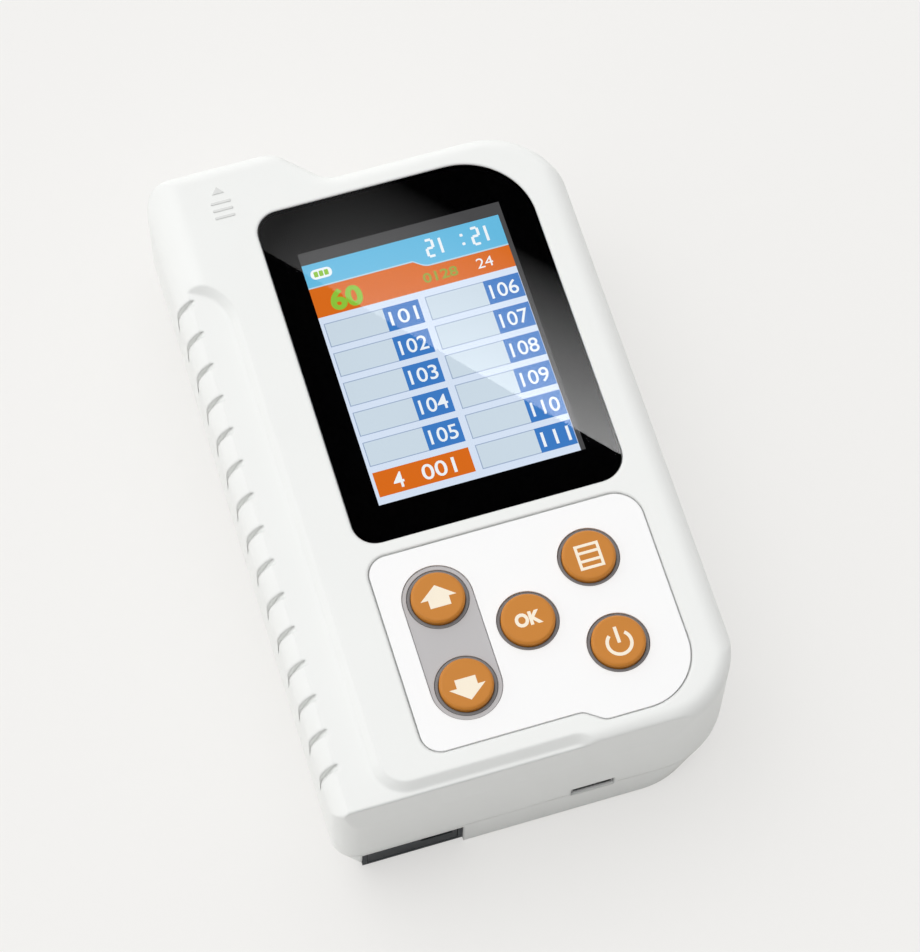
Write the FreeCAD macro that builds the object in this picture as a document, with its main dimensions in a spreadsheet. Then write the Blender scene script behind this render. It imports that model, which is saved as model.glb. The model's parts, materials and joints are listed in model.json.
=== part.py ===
import FreeCAD, Part
import math
import os
import re

import Sketcher

# Handheld urine analyzer, in millimetres. It lies on its back: +Z comes out of the screen,
# +Y runs to the end with the raised shoulder and -Y to the end with the tray mouth and the
# charging socket. The origin is under the middle of the body, on the plane it lies on.

DIMENSIONS = (
    # housing outline
    ("body_width", 74.0),
    ("body_length", 126.0),
    ("body_height", 30.0),
    ("rear_height", 8.0),
    ("cover_wall", 2.0),
    ("front_wall", 2.6),
    ("rear_floor", 1.6),
    ("shoulder_reach", 24.8),
    ("shoulder_drop", 8.0),
    ("corner_mouth_side", 4.0),
    ("corner_socket_side", 15.0),
    ("corner_top_plain", 15.0),
    ("corner_shoulder", 5.5),
    ("shoulder_crest_round", 6.0),
    ("shoulder_foot_round", 4.5),
    ("rim_round", 2.8),
    ("grip_side_round", 6.5),
    ("plain_side_round", 4.0),
    ("end_slope_height", 7.5),
    ("end_slope_inset", 1.0),
    ("rear_side_taper", 3.4),
    ("lip_wall", 0.9),
    ("lip_height", 1.4),
    ("fit_gap", 0.1),
    # lowered band along the grip side and the mouth end
    ("band_depth", 1.3),
    ("band_width", 9.8),
    ("band_from_far", 25.5),
    ("band_fade", 7.5),
    ("band_foot", 3.0),
    ("band_lip", 0.6),
    ("band_step_run", 2.5),
    ("band_step_start", 30.5),
    ("band_step_end", 26.5),
    ("band_inner_round", 4.5),
    ("band_top_round", 9.0),
    ("groove_pitch", 6.5),
    ("groove_width", 1.0),
    ("groove_first", 9.4),
    ("groove_depth", 0.45),
    ("groove_top_inset", 2.2),
    ("groove_top_drop", 1.3),
    ("groove_lead_side", 1.2),
    ("groove_lead_rise", 1.4),
    ("groove_foot_drop", 11.0),
    ("groove_foot_run", 5.5),
    # screen
    ("lens_left", 17.6),
    ("lens_bottom", 46.0),
    ("lens_right", 7.4),
    ("lens_far", 12.8),
    ("lens_thickness", 1.2),
    ("lens_gap", 0.12),
    ("lens_sink", 0.05),
    ("lens_round_small", 4.2),
    ("lens_round_low", 5.0),
    ("lens_round_large", 13.2),
    ("window_left", 5.3),
    ("window_bottom", 6.3),
    ("window_right", 5.7),
    ("window_top", 9.3),
    ("lcd_left", 3.0),
    ("lcd_right", 3.2),
    ("lcd_low", 0.8),
    ("lcd_top", 7.6),
    ("lcd_thickness", 2.4),
    ("lcd_tail_depth", 0.6),
    ("gasket_thickness", 0.5),
    ("gasket_width", 1.5),
    ("holder_wall", 1.2),
    ("holder_ledge", 1.6),
    ("holder_height", 2.7),
    # keypad
    ("plate_left", 17.8),
    ("plate_top", 43.3),
    ("plate_right", 7.5),
    ("plate_low_short", 6.5),
    ("plate_low_long", 4.1),
    ("plate_step_start", 28.7),
    ("plate_step_end", 25.3),
    ("plate_thickness", 0.8),
    ("plate_gap", 0.25),
    ("plate_round_left", 3.5),
    ("plate_round_right", 5.0),
    ("plate_round_large", 10.0),
    ("plate_step_round", 2.5),
    ("key_column_left", 27.9),
    ("key_column_right", 19.05),
    ("key_row_middle", 24.9),
    ("key_row_space", 16.45),
    ("key_radius", 4.68),
    ("key_proud", 0.9),
    ("key_edge_ease", 0.35),
    ("key_flange", 1.0),
    ("key_flange_thickness", 0.8),
    ("key_travel", 0.5),
    ("key_clearance", 0.1),
    ("collar_wall", 0.55),
    ("collar_sink", 0.35),
    ("mat_thickness", 0.8),
    ("mat_margin_side", 9.0),
    ("mat_margin_end", 7.3),
    ("inlay_radius", 6.15),
    ("inlay_sink", 0.2),
    ("switch_side", 6.0),
    ("plunger_radius", 1.7),
    ("plunger_height", 0.8),
    # main board and what hangs on it
    ("board_left", 14.0),
    ("board_bottom", 10.0),
    ("board_right", 4.0),
    ("board_far", 19.5),
    ("board_thickness", 1.6),
    ("board_screw_inset", 2.5),
    ("board_screw_low", 5.0),
    ("board_screw_middle", 13.0),
    ("board_screw_high", 13.5),
    ("board_boss_radius", 2.2),
    ("buzzer_right", 13.0),
    ("buzzer_far", 26.5),
    ("buzzer_radius", 4.5),
    ("buzzer_height", 4.5),
    # cover screws
    ("cover_boss_radius", 3.0),
    ("cover_screw_radius", 1.25),
    ("cover_head_radius", 2.4),
    ("cover_head_height", 1.6),
    ("cover_seat_depth", 3.0),
    ("cover_screw_length", 12.0),
    ("post_root", 1.0),
    ("screw_mouth_side", 5.3),
    ("screw_mouth_end", 5.5),
    ("screw_socket_side", 13.0),
    ("screw_socket_end", 6.0),
    ("screw_plain_side", 11.0),
    ("screw_plain_end", 8.0),
    ("screw_shoulder_side", 11.0),
    ("screw_shoulder_end", 6.0),
    ("small_screw_radius", 0.8),
    ("small_head_radius", 1.6),
    ("small_head_height", 1.0),
    ("small_screw_depth", 4.1),
    ("small_pilot_depth", 4.6),
    ("screw_ease", 0.05),
    # tray channel
    ("mouth_left", 4.4),
    ("mouth_width", 18.3),
    ("mouth_top", 7.2),
    ("mouth_notch", 3.0),
    ("guide_gap", 0.1),
    ("guide_base", 0.8),
    ("guide_wall", 0.8),
    ("guide_floor", 0.6),
    ("guide_far", 13.6),
    ("guide_sink", 0.4),
    ("tray_side_gap", 0.15),
    ("tray_lift", 0.2),
    ("tray_height", 4.6),
    ("tray_end_gap", 0.6),
    ("tray_sink", 0.5),
    ("finger_side", 4.4),
    ("finger_set", 1.2),
    ("finger_depth", 1.8),
    ("finger_radius", 3.2),
    ("strip_width", 5.4),
    ("strip_depth", 1.2),
    ("strip_start", 4.0),
    ("tile_space", 0.6),
    ("tile_end_wall", 1.8),
    ("tile_side", 3.6),
    ("tile_thickness", 0.95),
    ("tile_sink", 0.05),
    # optical head over the channel
    ("head_from_mouth", 35.0),
    ("head_length", 18.0),
    ("head_width", 14.0),
    ("head_base", 0.4),
    ("head_height", 8.0),
    ("head_window_side", 6.0),
    ("head_window_thickness", 0.8),
    ("head_bore_radius", 2.0),
    ("head_bore_top", 1.5),
    ("head_ear", 4.6),
    ("head_ear_thickness", 2.0),
    ("head_post_height", 4.0),
    ("head_post_radius", 1.8),
    ("head_post_inset", 1.2),
    ("optical_board_thickness", 1.2),
    # tray drive
    ("gear_module", 0.5),
    ("pinion_teeth", 12),
    ("wheel_teeth", 30),
    ("motor_teeth", 10),
    ("rack_near", 4.0),
    ("rack_far", 3.0),
    ("drive_from_mouth", 19.0),
    ("backlash", 0.12),
    ("pinion_base", 1.0),
    ("pinion_width", 3.0),
    ("wheel_base", 6.2),
    ("wheel_width", 2.0),
    ("axle_radius", 1.0),
    ("axle_gap", 0.05),
    ("axle_margin", 2.5),
    ("hub_wall", 1.2),
    ("drive_plate_base", 8.7),
    ("drive_plate_thickness", 0.8),
    ("plate_edge", 0.6),
    ("drive_post_radius", 2.0),
    ("drive_post_far", 9.75),
    ("drive_post_near", 2.8),
    ("drive_post_low", 2.0),
    ("drive_post_high", 10.5),
    ("drive_clearance", 0.4),
    ("axle_boss_wall", 0.45),
    ("motor_radius", 7.5),
    ("motor_room", 0.7),
    ("motor_shaft_radius", 0.75),
    ("motor_shaft_drop", 3.0),
    ("shaft_end_gap", 1.0),
    ("motor_ear_reach", 10.0),
    ("motor_ear_radius", 2.4),
    ("motor_ear_thickness", 0.8),
    # power
    ("battery_left", 27.0),
    ("battery_from_mouth", 33.0),
    ("battery_right", 9.0),
    ("battery_far", 41.0),
    ("battery_height", 5.8),
    ("rib_gap", 0.2),
    ("rib_thickness", 1.0),
    ("rib_height", 3.0),
    ("socket_width", 7.5),
    ("socket_height", 2.6),
    ("socket_depth", 5.6),
    ("socket_sink", 0.4),
    ("socket_wall", 0.3),
    ("socket_back", 0.8),
    ("tongue_set", 0.8),
    ("tongue_thickness", 0.45),
    ("socket_gap", 0.2),
    ("charge_board_top", 7.6),
    ("charge_board_thickness", 1.2),
    ("charge_gap_left", 4.5),
    ("charge_gap_right", 1.5),
    ("charge_board_length", 10.8),
    ("charge_post_radius", 2.0),
    ("charge_post_inset", 0.5),
)

doc = FreeCAD.newDocument("urine_analyzer")
sheet = doc.addObject("Spreadsheet::Sheet", "Sizes")
for row, (alias, value) in enumerate(DIMENSIONS, start=1):
    sheet.set(f"A{row}", alias)
    sheet.set(f"B{row}", str(value))
    sheet.setAlias(f"B{row}", alias)
doc.recompute()
size = {alias: sheet.get(alias) for alias, _ in DIMENSIONS}

# Places that several pieces share, as formulas of the sheet's names.
LEFT = "(-body_width / 2)"
RIGHT = "(body_width / 2)"
MOUTH_END = "(-body_length / 2)"
FAR_END = "(body_length / 2)"
CEILING = "(body_height - front_wall)"
LENS_TOP = "(body_height - lens_sink)"
LCD_TOP = f"({CEILING} - gasket_thickness)"
LCD_BASE = f"({LCD_TOP} - lcd_thickness)"
BOARD_TOP = f"({LCD_BASE} - holder_height)"
BOARD_BASE = f"({BOARD_TOP} - board_thickness)"
BOARD_X = f"({LEFT} + board_left)"
BOARD_Y = f"({MOUTH_END} + board_bottom)"
BOARD_WIDTH = "(body_width - board_left - board_right)"
BOARD_LENGTH = "(body_length - board_bottom - board_far)"

LENS_X = f"({LEFT} + lens_left)"
LENS_Y = f"({MOUTH_END} + lens_bottom)"
LENS_WIDTH = "(body_width - lens_left - lens_right)"
LENS_HEIGHT = "(body_length - lens_bottom - lens_far)"
WINDOW_X = f"({LENS_X} + window_left)"
WINDOW_Y = f"({LENS_Y} + window_bottom)"
WINDOW_WIDTH = f"({LENS_WIDTH} - window_left - window_right)"
WINDOW_HEIGHT = f"({LENS_HEIGHT} - window_bottom - window_top)"
LCD_X = f"({LENS_X} + lcd_left)"
LCD_Y = f"({LENS_Y} - lcd_low)"
LCD_WIDTH = f"({LENS_WIDTH} - lcd_left - lcd_right)"
LCD_HEIGHT = f"({LENS_HEIGHT} + lcd_low - lcd_top)"

PLATE_TOP = "(body_height - lens_sink)"
MAT_BASE = f"({CEILING} - mat_thickness)"
FLANGE_TOP = f"({MAT_BASE} - key_clearance)"
FLANGE_BASE = f"({FLANGE_TOP} - key_flange_thickness)"
PLUNGER_TOP = f"({FLANGE_BASE} - key_travel - key_clearance)"
KEY_LEFT = f"({LEFT} + key_column_left)"
KEY_SPACE = "(body_width - key_column_left - key_column_right)"
KEY_RIGHT = f"({KEY_LEFT} + {KEY_SPACE})"
KEY_MIDDLE = f"({KEY_LEFT} + {KEY_SPACE} / 2)"
KEY_ROW = f"({MOUTH_END} + key_row_middle)"
KEY_UPPER = f"({KEY_ROW} + key_row_space / 2)"
KEY_LOWER = f"({KEY_ROW} - key_row_space / 2)"
KEY_HOLE = "(key_radius + key_clearance + collar_wall + fit_gap)"

GUIDE_TOP = "(mouth_top - guide_gap)"
GUIDE_LENGTH = "(body_length - guide_sink - guide_far)"
MOUTH_X = f"({LEFT} + mouth_left)"
MOUTH_MIDDLE = f"({MOUTH_X} + mouth_width / 2)"
GUIDE_HALF = "(mouth_width / 2 - guide_gap)"
TRAY_HALF = f"({GUIDE_HALF} - guide_wall - tray_side_gap)"
TRAY_SIDE = f"({MOUTH_MIDDLE} + {TRAY_HALF})"
TRAY_BASE = "(guide_base + guide_floor + tray_lift)"
TRAY_TOP = f"({TRAY_BASE} + tray_height)"
TRAY_END = f"({MOUTH_END} + tray_sink)"
TRAY_LENGTH = f"({GUIDE_LENGTH} + guide_sink - guide_wall - tray_sink - tray_end_gap)"
TILE_SEAT = "(tile_side + 2 * fit_gap)"
STRIP_LENGTH = f"({TRAY_LENGTH} - strip_start - tile_space - {TILE_SEAT} - tile_end_wall)"

DRIVE_Y = f"({MOUTH_END} + drive_from_mouth)"
DRIVE_X = f"({TRAY_SIDE} - gear_module + gear_module * pinion_teeth / 2 + backlash)"
MOTOR_X = f"({DRIVE_X} + gear_module * (wheel_teeth + motor_teeth) / 2 + backlash)"
PINION_BASE = "(rear_floor + pinion_base)"
WHEEL_BASE = "(rear_floor + wheel_base)"
DRIVE_PLATE = "(rear_floor + drive_plate_base)"
MOTOR_BASE = f"({DRIVE_PLATE} + drive_plate_thickness)"
MOTOR_HEIGHT = f"({BOARD_BASE} - motor_room - {MOTOR_BASE})"
SHAFT_TOP = f"({MOTOR_BASE} + {MOTOR_HEIGHT} - motor_shaft_drop)"
HEAD_Y = f"({MOUTH_END} + head_from_mouth)"
HEAD_BASE = f"({GUIDE_TOP} + head_base)"
HEAD_TOP = f"({HEAD_BASE} + head_height)"

MOUTH_SCREW = f"({MOUTH_X} + mouth_width + screw_mouth_side)"
SOCKET_SCREW = f"({RIGHT} - screw_socket_side)"
CHARGE_LEFT = f"({MOUTH_SCREW} + cover_boss_radius + charge_gap_left)"
CHARGE_RIGHT = f"({SOCKET_SCREW} - cover_boss_radius - charge_gap_right)"
CHARGE_BASE = "(charge_board_top - charge_board_thickness)"
SOCKET_X = f"(({CHARGE_LEFT} + {CHARGE_RIGHT}) / 2)"
SOCKET_END = f"({MOUTH_END} + socket_sink)"
BATTERY_X = f"({LEFT} + battery_left)"
BATTERY_Y = f"({MOUTH_END} + battery_from_mouth)"
BATTERY_WIDTH = "(body_width - battery_left - battery_right)"
BATTERY_LENGTH = "(body_length - battery_from_mouth - battery_far)"

NAME = re.compile(r"[a-z_]+")
TOUCH = 0.01    # points nearer than this are the same point
PAST = 1        # how far a cutting shape reaches past what it cuts
OUTSIDE = 5     # how far the band's outline reaches past the body
LOOSE = 10      # where a sketch's points lie before they are pinned

# One side of a tooth, or of a rack's gap: height over the pitch line in modules, and half
# width there in pitches.
TOOTH_FLANK = ((-1.2, 0.34), (0.0, 0.23), (1.0, 0.11))
RACK_GAP = ((0.6, 0.36), (0.0, 0.36), (-2.25, 0.14))


def formula(text):
    """The text with each of the sheet's names told apart as the sheet's."""
    return NAME.sub(lambda m: f"Sizes.{m.group()}" if m.group() in size else m.group(), str(text))


def bind(thing, **places):
    """Ties properties of one object to formulas; two underscores stand for a dot."""
    for path, text in places.items():
        thing.setExpression(path.replace("__", "."), formula(text))
    return thing


def place(thing, x=0, y=0, z=0):
    return bind(thing, Placement__Base__x=x, Placement__Base__y=y, Placement__Base__z=z)


def box(name, x, y, z, length, width, height):
    """A block from its lowest corner."""
    made = bind(doc.addObject("Part::Box", name), Length=length, Width=width, Height=height)
    return place(made, x, y, z)


def rod(name, x, y, z, radius, height):
    """An upright cylinder from the middle of its lower face."""
    made = bind(doc.addObject("Part::Cylinder", name), Radius=radius, Height=height)
    return place(made, x, y, z)


def through_hole(name, x, y, base, radius, height):
    """A round cutting shape that comes out at both ends of the stretch it is given."""
    return rod(name, x, y, f"{base} - {PAST}", radius, f"{height} + 2 * {PAST}")


def fuse(name, *shapes):
    made = doc.addObject("Part::MultiFuse", name)
    made.Shapes = list(shapes)
    made.Refine = True
    return made


def common(name, *shapes):
    made = doc.addObject("Part::MultiCommon", name)
    made.Shapes = list(shapes)
    return made


def cut(name, base, *tools):
    made = doc.addObject("Part::Cut", name)
    made.Base = base
    made.Tool = tools[0] if len(tools) == 1 else fuse(name + "_tools", *tools)
    return made


def group(name, *shapes):
    """Separate solids of one node, such as a set of screws."""
    made = doc.addObject("Part::Compound", name)
    made.Links = list(shapes)
    return made


def new_body(name):
    made = doc.addObject("PartDesign::Body", name)
    made.Label = name
    return made


def new_sketch(body, name, role="XY_Plane", height=0):
    """An empty sketch on one of the body's own planes, lifted off it along its normal."""
    made = body.newObject("Sketcher::SketchObject", name)
    plane = [p for p in body.Origin.OriginFeatures if p.Role == role][0]
    made.AttachmentSupport = [(plane, "")]
    made.MapMode = "FlatFace"
    return bind(made, AttachmentOffset__Base__z=height)


def pin_point(drawing, geometry, which, place_x, place_y, at):
    """Holds one point of a sketch at two formulas, measured from the sketch's origin."""
    for axis, text, start in (("X", place_x, at.x), ("Y", place_y, at.y)):
        index = drawing.addConstraint(
            Sketcher.Constraint("Distance" + axis, -1, 1, geometry, which, start))
        drawing.setExpression(f"Constraints[{index}]", formula(text))


def polygon(drawing, corners):
    """A closed outline of straight lines through corners given as pairs of formulas."""
    first = drawing.GeometryCount
    count = len(corners)
    turns = [2 * math.pi * i / count for i in range(count)]
    starts = [FreeCAD.Vector(LOOSE * math.cos(a), LOOSE * math.sin(a), 0) for a in turns]
    for i in range(count):
        drawing.addGeometry(Part.LineSegment(starts[i], starts[(i + 1) % count]))
    for i in range(count):
        drawing.addConstraint(
            Sketcher.Constraint("Coincident", first + i, 2, first + (i + 1) % count, 1))
    for i, (x, y) in enumerate(corners):
        pin_point(drawing, first + i, 1, x, y, starts[i])
    return drawing


def rectangle(drawing, x, y, width, height):
    right, top = f"{x} + {width}", f"{y} + {height}"
    return polygon(drawing, ((x, y), (right, y), (right, top), (x, top)))


def pad(body, drawing, length, middle=False):
    made = body.newObject("PartDesign::Pad", drawing.Name + "_pad")
    made.Profile = drawing
    if middle:
        made.SideType = "Symmetric"
    return bind(made, Length=length)


def edge_names(feature, picks):
    """The names of a feature's edges for which picks says yes."""
    doc.recompute()
    return [f"Edge{i}" for i, e in enumerate(feature.Shape.Edges, start=1) if picks(e)]


def round_edges(body, radius, picks):
    """Rounds the edges of the body's tip for which picks says yes."""
    tip = body.Tip
    edges = edge_names(tip, picks)
    made = body.newObject("PartDesign::Fillet", body.Name + "_round")
    made.Base = (tip, edges)
    return bind(made, Radius=radius)


def corner_point(drawing, index):
    doc.recompute()
    return drawing.Placement.multVec(drawing.Geometry[index].StartPoint)


def round_corners(body, drawing, radii):
    """Rounds the upright edges over chosen corners of an outline: {corner number: radius}."""
    for index, radius in radii.items():
        at = corner_point(drawing, index)

        def over_corner(edge, at=at):
            ends = [v.Point for v in edge.Vertexes]
            rises = len(ends) == 2 and abs(ends[0].z - ends[1].z) > TOUCH
            feet = [math.hypot(p.x - at.x, p.y - at.y) for p in ends]
            return rises and min(feet) < TOUCH and isinstance(edge.Curve, Part.Line)

        round_edges(body, radius, over_corner)


# The housing's outline. Corners run from the mouth end's grip side round to the shoulder.
OUTLINE_RADII = {
    0: "corner_mouth_side",
    1: "corner_socket_side",
    2: "corner_top_plain",
    3: "shoulder_foot_round",
    4: "shoulder_crest_round",
    5: "corner_shoulder",
}
SLOPE_SHARE = math.sqrt(2) - 1
HOLLOW_CORNER = 3


def outline_corners(inset, narrowing):
    """The outline moved inwards by inset, with both long sides moved in by narrowing too."""
    low_x = f"{LEFT} + {inset} + {narrowing}"
    high_x = f"{RIGHT} - {inset} - {narrowing}"
    low_y = f"{MOUTH_END} + {inset}"
    main_y = f"{FAR_END} - shoulder_drop - {inset}"
    top_y = f"{FAR_END} - {inset}"
    crest_x = f"{LEFT} + shoulder_reach - {inset} * {SLOPE_SHARE:.6f}"
    foot_x = f"{crest_x} + shoulder_drop"
    return ((low_x, low_y), (high_x, low_y), (high_x, main_y),
            (foot_x, main_y), (crest_x, top_y), (low_x, top_y))


def outline_radii(inset):
    """A corner that bulges loses the inset and the hollow one gains it."""
    signs = {i: "+" if i == HOLLOW_CORNER else "-" for i in OUTLINE_RADII}
    return {i: f"{radius} {signs[i]} {inset}" for i, radius in OUTLINE_RADII.items()}


def prism(name, inset, base, height, narrowing="0"):
    """The housing's outline, drawn inset by a wall and raised from base."""
    body = new_body(name)
    drawing = new_sketch(body, name + "_outline", height=base)
    polygon(drawing, outline_corners(inset, narrowing))
    pad(body, drawing, height)
    round_corners(body, drawing, outline_radii(inset))
    return body


def front_form(name, inset, top):
    """What stands above the parting line: the outline, rounded along both long sides
    and sloped at the mouth end, as solid stock."""
    height = f"({top} - rear_height)"
    plan = prism(name + "_plan", inset, "rear_height", height)

    across = new_body(name + "_across")
    section = new_sketch(across, name + "_section", "XZ_Plane")
    rectangle(section, f"{LEFT} + {inset}", "rear_height",
              f"(body_width - 2 * {inset})", height)
    pad(across, section, "body_length * 2", middle=True)
    for side, radius in ((-1, "grip_side_round"), (1, "plain_side_round")):

        def top_edge(edge, side=side):
            ends = [v.Point for v in edge.Vertexes]
            along = abs(ends[0].y - ends[1].y) > size["body_length"]
            return along and ends[0].x * side > 0 and ends[0].z > size["body_height"] / 2

        round_edges(across, f"{radius} - {inset}", top_edge)

    along = new_body(name + "_along")
    profile = new_sketch(along, name + "_profile", "YZ_Plane")
    low = f"{MOUTH_END} + {inset}"
    high = f"{FAR_END} - {inset}"
    polygon(profile, (
        (low, "rear_height"), (high, "rear_height"), (high, top),
        (low + " + end_slope_inset", top), (low, "body_height - end_slope_height")))
    pad(along, profile, "body_width * 2", middle=True)
    return common(name, plan, across, along), plan


def soften_rim(plan):
    """Rounds the whole upper rim of an outline's solid."""
    top = size["body_height"]

    def on_rim(edge):
        return all(abs(v.Point.z - top) < TOUCH for v in edge.Vertexes)

    round_edges(plan, "rim_round", on_rim)


def key_places():
    return (("up", KEY_LEFT, KEY_UPPER), ("down", KEY_LEFT, KEY_LOWER),
            ("ok", KEY_MIDDLE, KEY_ROW), ("menu", KEY_RIGHT, KEY_UPPER),
            ("power", KEY_RIGHT, KEY_LOWER))


def cover_screw_places():
    """The four corners where the covers are screwed together, clear of the tray channel."""
    return ((MOUTH_SCREW, f"{MOUTH_END} + screw_mouth_end"),
            (SOCKET_SCREW, f"{MOUTH_END} + screw_socket_end"),
            (f"{RIGHT} - screw_plain_side", f"{FAR_END} - shoulder_drop - screw_plain_end"),
            (f"{LEFT} + screw_shoulder_side", f"{FAR_END} - screw_shoulder_end"))


def board_screw_places():
    left = f"{BOARD_X} + board_screw_inset"
    right = f"{BOARD_X} + {BOARD_WIDTH} - board_screw_inset"
    high = f"{BOARD_Y} + {BOARD_LENGTH} - board_screw_high"
    return ((left, f"{BOARD_Y} + board_screw_low"), (right, f"{BOARD_Y} + board_screw_middle"),
            (right, high), (left, high))


def lens_form(name, gap, base, height):
    """The screen's outline: three small corners and a large one at the plain side."""
    body = new_body(name)
    drawing = new_sketch(body, name + "_outline", height=base)
    rectangle(drawing, f"{LENS_X} - {gap}", f"{LENS_Y} - {gap}",
              f"{LENS_WIDTH} + 2 * {gap}", f"{LENS_HEIGHT} + 2 * {gap}")
    pad(body, drawing, height)
    round_corners(body, drawing, {
        0: f"lens_round_small + {gap}", 1: f"lens_round_low + {gap}",
        2: f"lens_round_large + {gap}", 3: f"lens_round_small + {gap}"})
    return body


def plate_form(name, gap, base, height):
    """The keypad plate's outline, whose lower edge steps down towards the plain side."""
    left = f"{LEFT} + plate_left - {gap}"
    right = f"{RIGHT} - plate_right + {gap}"
    top = f"{MOUTH_END} + plate_top + {gap}"
    short = f"{MOUTH_END} + plate_low_short - {gap}"
    long = f"{MOUTH_END} + plate_low_long - {gap}"
    body = new_body(name)
    drawing = new_sketch(body, name + "_outline", height=base)
    polygon(drawing, (
        (left, short), (f"{RIGHT} - plate_step_start", short),
        (f"{RIGHT} - plate_step_end", long), (right, long), (right, top), (left, top)))
    pad(body, drawing, height)
    round_corners(body, drawing, {
        0: f"plate_round_left + {gap}", 1: "plate_step_round", 2: "plate_step_round",
        3: f"plate_round_large + {gap}", 4: f"plate_round_right + {gap}",
        5: f"plate_round_left + {gap}"})
    return body


def stadium(name, radius, base, height):
    """The rounded field round the up and down keys."""
    low = rod(name + "_low", KEY_LEFT, KEY_LOWER, base, radius, height)
    high = rod(name + "_high", KEY_LEFT, KEY_UPPER, base, radius, height)
    bar = box(name + "_bar", f"{KEY_LEFT} - {radius}", KEY_LOWER, base,
              f"2 * {radius}", "key_row_space", height)
    return fuse(name, low, high, bar)


def socket_opening(name):
    """Where the charging socket looks out through both covers."""
    return box(name, f"{SOCKET_X} - socket_width / 2 - socket_gap", f"{MOUTH_END} - {PAST}",
               "charge_board_top - socket_gap", "socket_width + 2 * socket_gap",
               f"cover_wall + 2 * {PAST}", "socket_height + 2 * socket_gap")


def band_tool():
    """The shallow band cut along the grip side and the mouth end, with a sloping wall."""
    edge = f"{LEFT} + band_width"
    foot = f"{MOUTH_END} + band_foot"
    reach = f"{FAR_END} - band_from_far"
    outer_x = f"{LEFT} - {OUTSIDE}"
    outer_y = f"{MOUTH_END} - {OUTSIDE}"
    body = new_body("band_tool")
    drawing = new_sketch(body, "band_plan", height="body_height - band_depth")
    polygon(drawing, (
        (outer_x, outer_y),
        (f"{RIGHT} - band_step_end + band_step_run", outer_y),
        (f"{RIGHT} - band_step_end", f"{MOUTH_END} + band_lip"),
        (f"{RIGHT} - band_step_start", foot),
        (edge, foot),
        (edge, reach),
        (outer_x, f"{reach} + band_fade")))
    pad(body, drawing, f"band_depth + {PAST}")
    round_corners(body, drawing, {
        3: "band_inner_round", 4: "band_inner_round", 5: "band_top_round"})
    floor = size["body_height"] - size["band_depth"]

    def on_floor(edge):
        return all(abs(v.Point.z - floor) < TOUCH for v in edge.Vertexes)

    tip = body.Tip
    slope = body.newObject("PartDesign::Chamfer", "band_slope")
    slope.Base = (tip, edge_names(tip, on_floor))
    bind(slope, Size="band_depth")
    return body


def groove_tool():
    """A row of short grip grooves, bitten across the rounded long edge."""
    band = "body_height - band_depth"
    top = f"{band} - groove_top_drop"
    foot = f"{band} - groove_foot_drop"
    inner = f"{LEFT} + groove_top_inset"
    outer = f"{LEFT} - {PAST}"
    body = new_body("groove_tool")
    drawing = new_sketch(body, "groove_section", "XZ_Plane", f"-({MOUTH_END} + groove_first)")
    polygon(drawing, (
        (f"{LEFT} + groove_depth", f"{foot} + groove_foot_run"),
        (inner, top),
        (f"{inner} + groove_lead_side", f"{top} + groove_lead_rise"),
        (outer, f"{top} + groove_lead_rise + {PAST}"),
        (outer, foot),
        (LEFT, foot)))
    pad(body, drawing, "groove_width", middle=True)
    row = body.newObject("PartDesign::LinearPattern", "groove_row")
    row.Originals = [body.Tip]
    axis = [a for a in body.Origin.OriginFeatures if a.Role == "Y_Axis"][0]
    row.Direction = (axis, [""])
    room = "body_length - band_from_far - groove_first"
    steps = f"floor(({room}) / groove_pitch)"
    bind(row, Length=f"groove_pitch * {steps}", Occurrences=f"{steps} + 1")
    body.Tip = row
    return body


def front_cover():
    """The moulded upper half: screen and keypad recesses, grip band, bosses inside."""
    stock, plan = front_form("front_stock", "0", "body_height")
    soften_rim(plan)
    hollow, _ = front_form("front_hollow", "cover_wall", CEILING)
    rebate = prism("front_rebate", "(cover_wall - lip_wall - fit_gap)", "rear_height",
                   "lip_height + fit_gap")
    lens_seat = lens_form("lens_seat", "lens_gap", f"{LENS_TOP} - lens_thickness",
                          f"lens_thickness + {PAST}")
    window = box("window_cut", WINDOW_X, WINDOW_Y, f"{CEILING} - {PAST}", WINDOW_WIDTH,
                 WINDOW_HEIGHT, f"front_wall + 2 * {PAST}")
    plate_seat = plate_form("plate_seat", "plate_gap", f"{PLATE_TOP} - plate_thickness",
                            f"plate_thickness + {PAST}")
    key_holes = [through_hole(name + "_hole", x, y, CEILING, KEY_HOLE, "front_wall")
                 for name, x, y in key_places()]
    shell = cut("front_shell", stock, hollow, rebate, band_tool(), groove_tool(), lens_seat,
                window, plate_seat, socket_opening("front_socket_cut"), *key_holes)

    posts, pilots = [], []
    for i, (x, y) in enumerate(cover_screw_places()):
        foot = "(rear_height + fit_gap)"
        posts.append(rod(f"cover_post_{i}", x, y, foot, "cover_boss_radius",
                         f"{CEILING} + post_root - {foot}"))
        pilots.append(rod(f"cover_pilot_{i}", x, y, "rear_height", "cover_screw_radius",
                          "cover_screw_length"))
    for i, (x, y) in enumerate(board_screw_places()):
        posts.append(rod(f"board_post_{i}", x, y, BOARD_TOP, "board_boss_radius",
                         f"{CEILING} + post_root - {BOARD_TOP}"))
        pilots.append(rod(f"board_pilot_{i}", x, y, f"{BOARD_TOP} - {PAST}",
                          "small_screw_radius", f"small_pilot_depth + {PAST}"))
    return cut("front_cover", fuse("front_with_posts", shell, *posts),
               fuse("front_pilots", *pilots))


def rim_wire(name, inset, narrowing, height):
    """The rounded outline as a closed wire at one height, with both long sides moved in."""
    slab = prism(name + "_slab", inset, height, f"{PAST}", narrowing)
    doc.recompute()
    lowest = min(slab.Shape.Faces, key=lambda face: face.CenterOfMass.z)
    made = doc.addObject("Part::Feature", name)
    made.Shape = lowest.OuterWire
    return made


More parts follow.
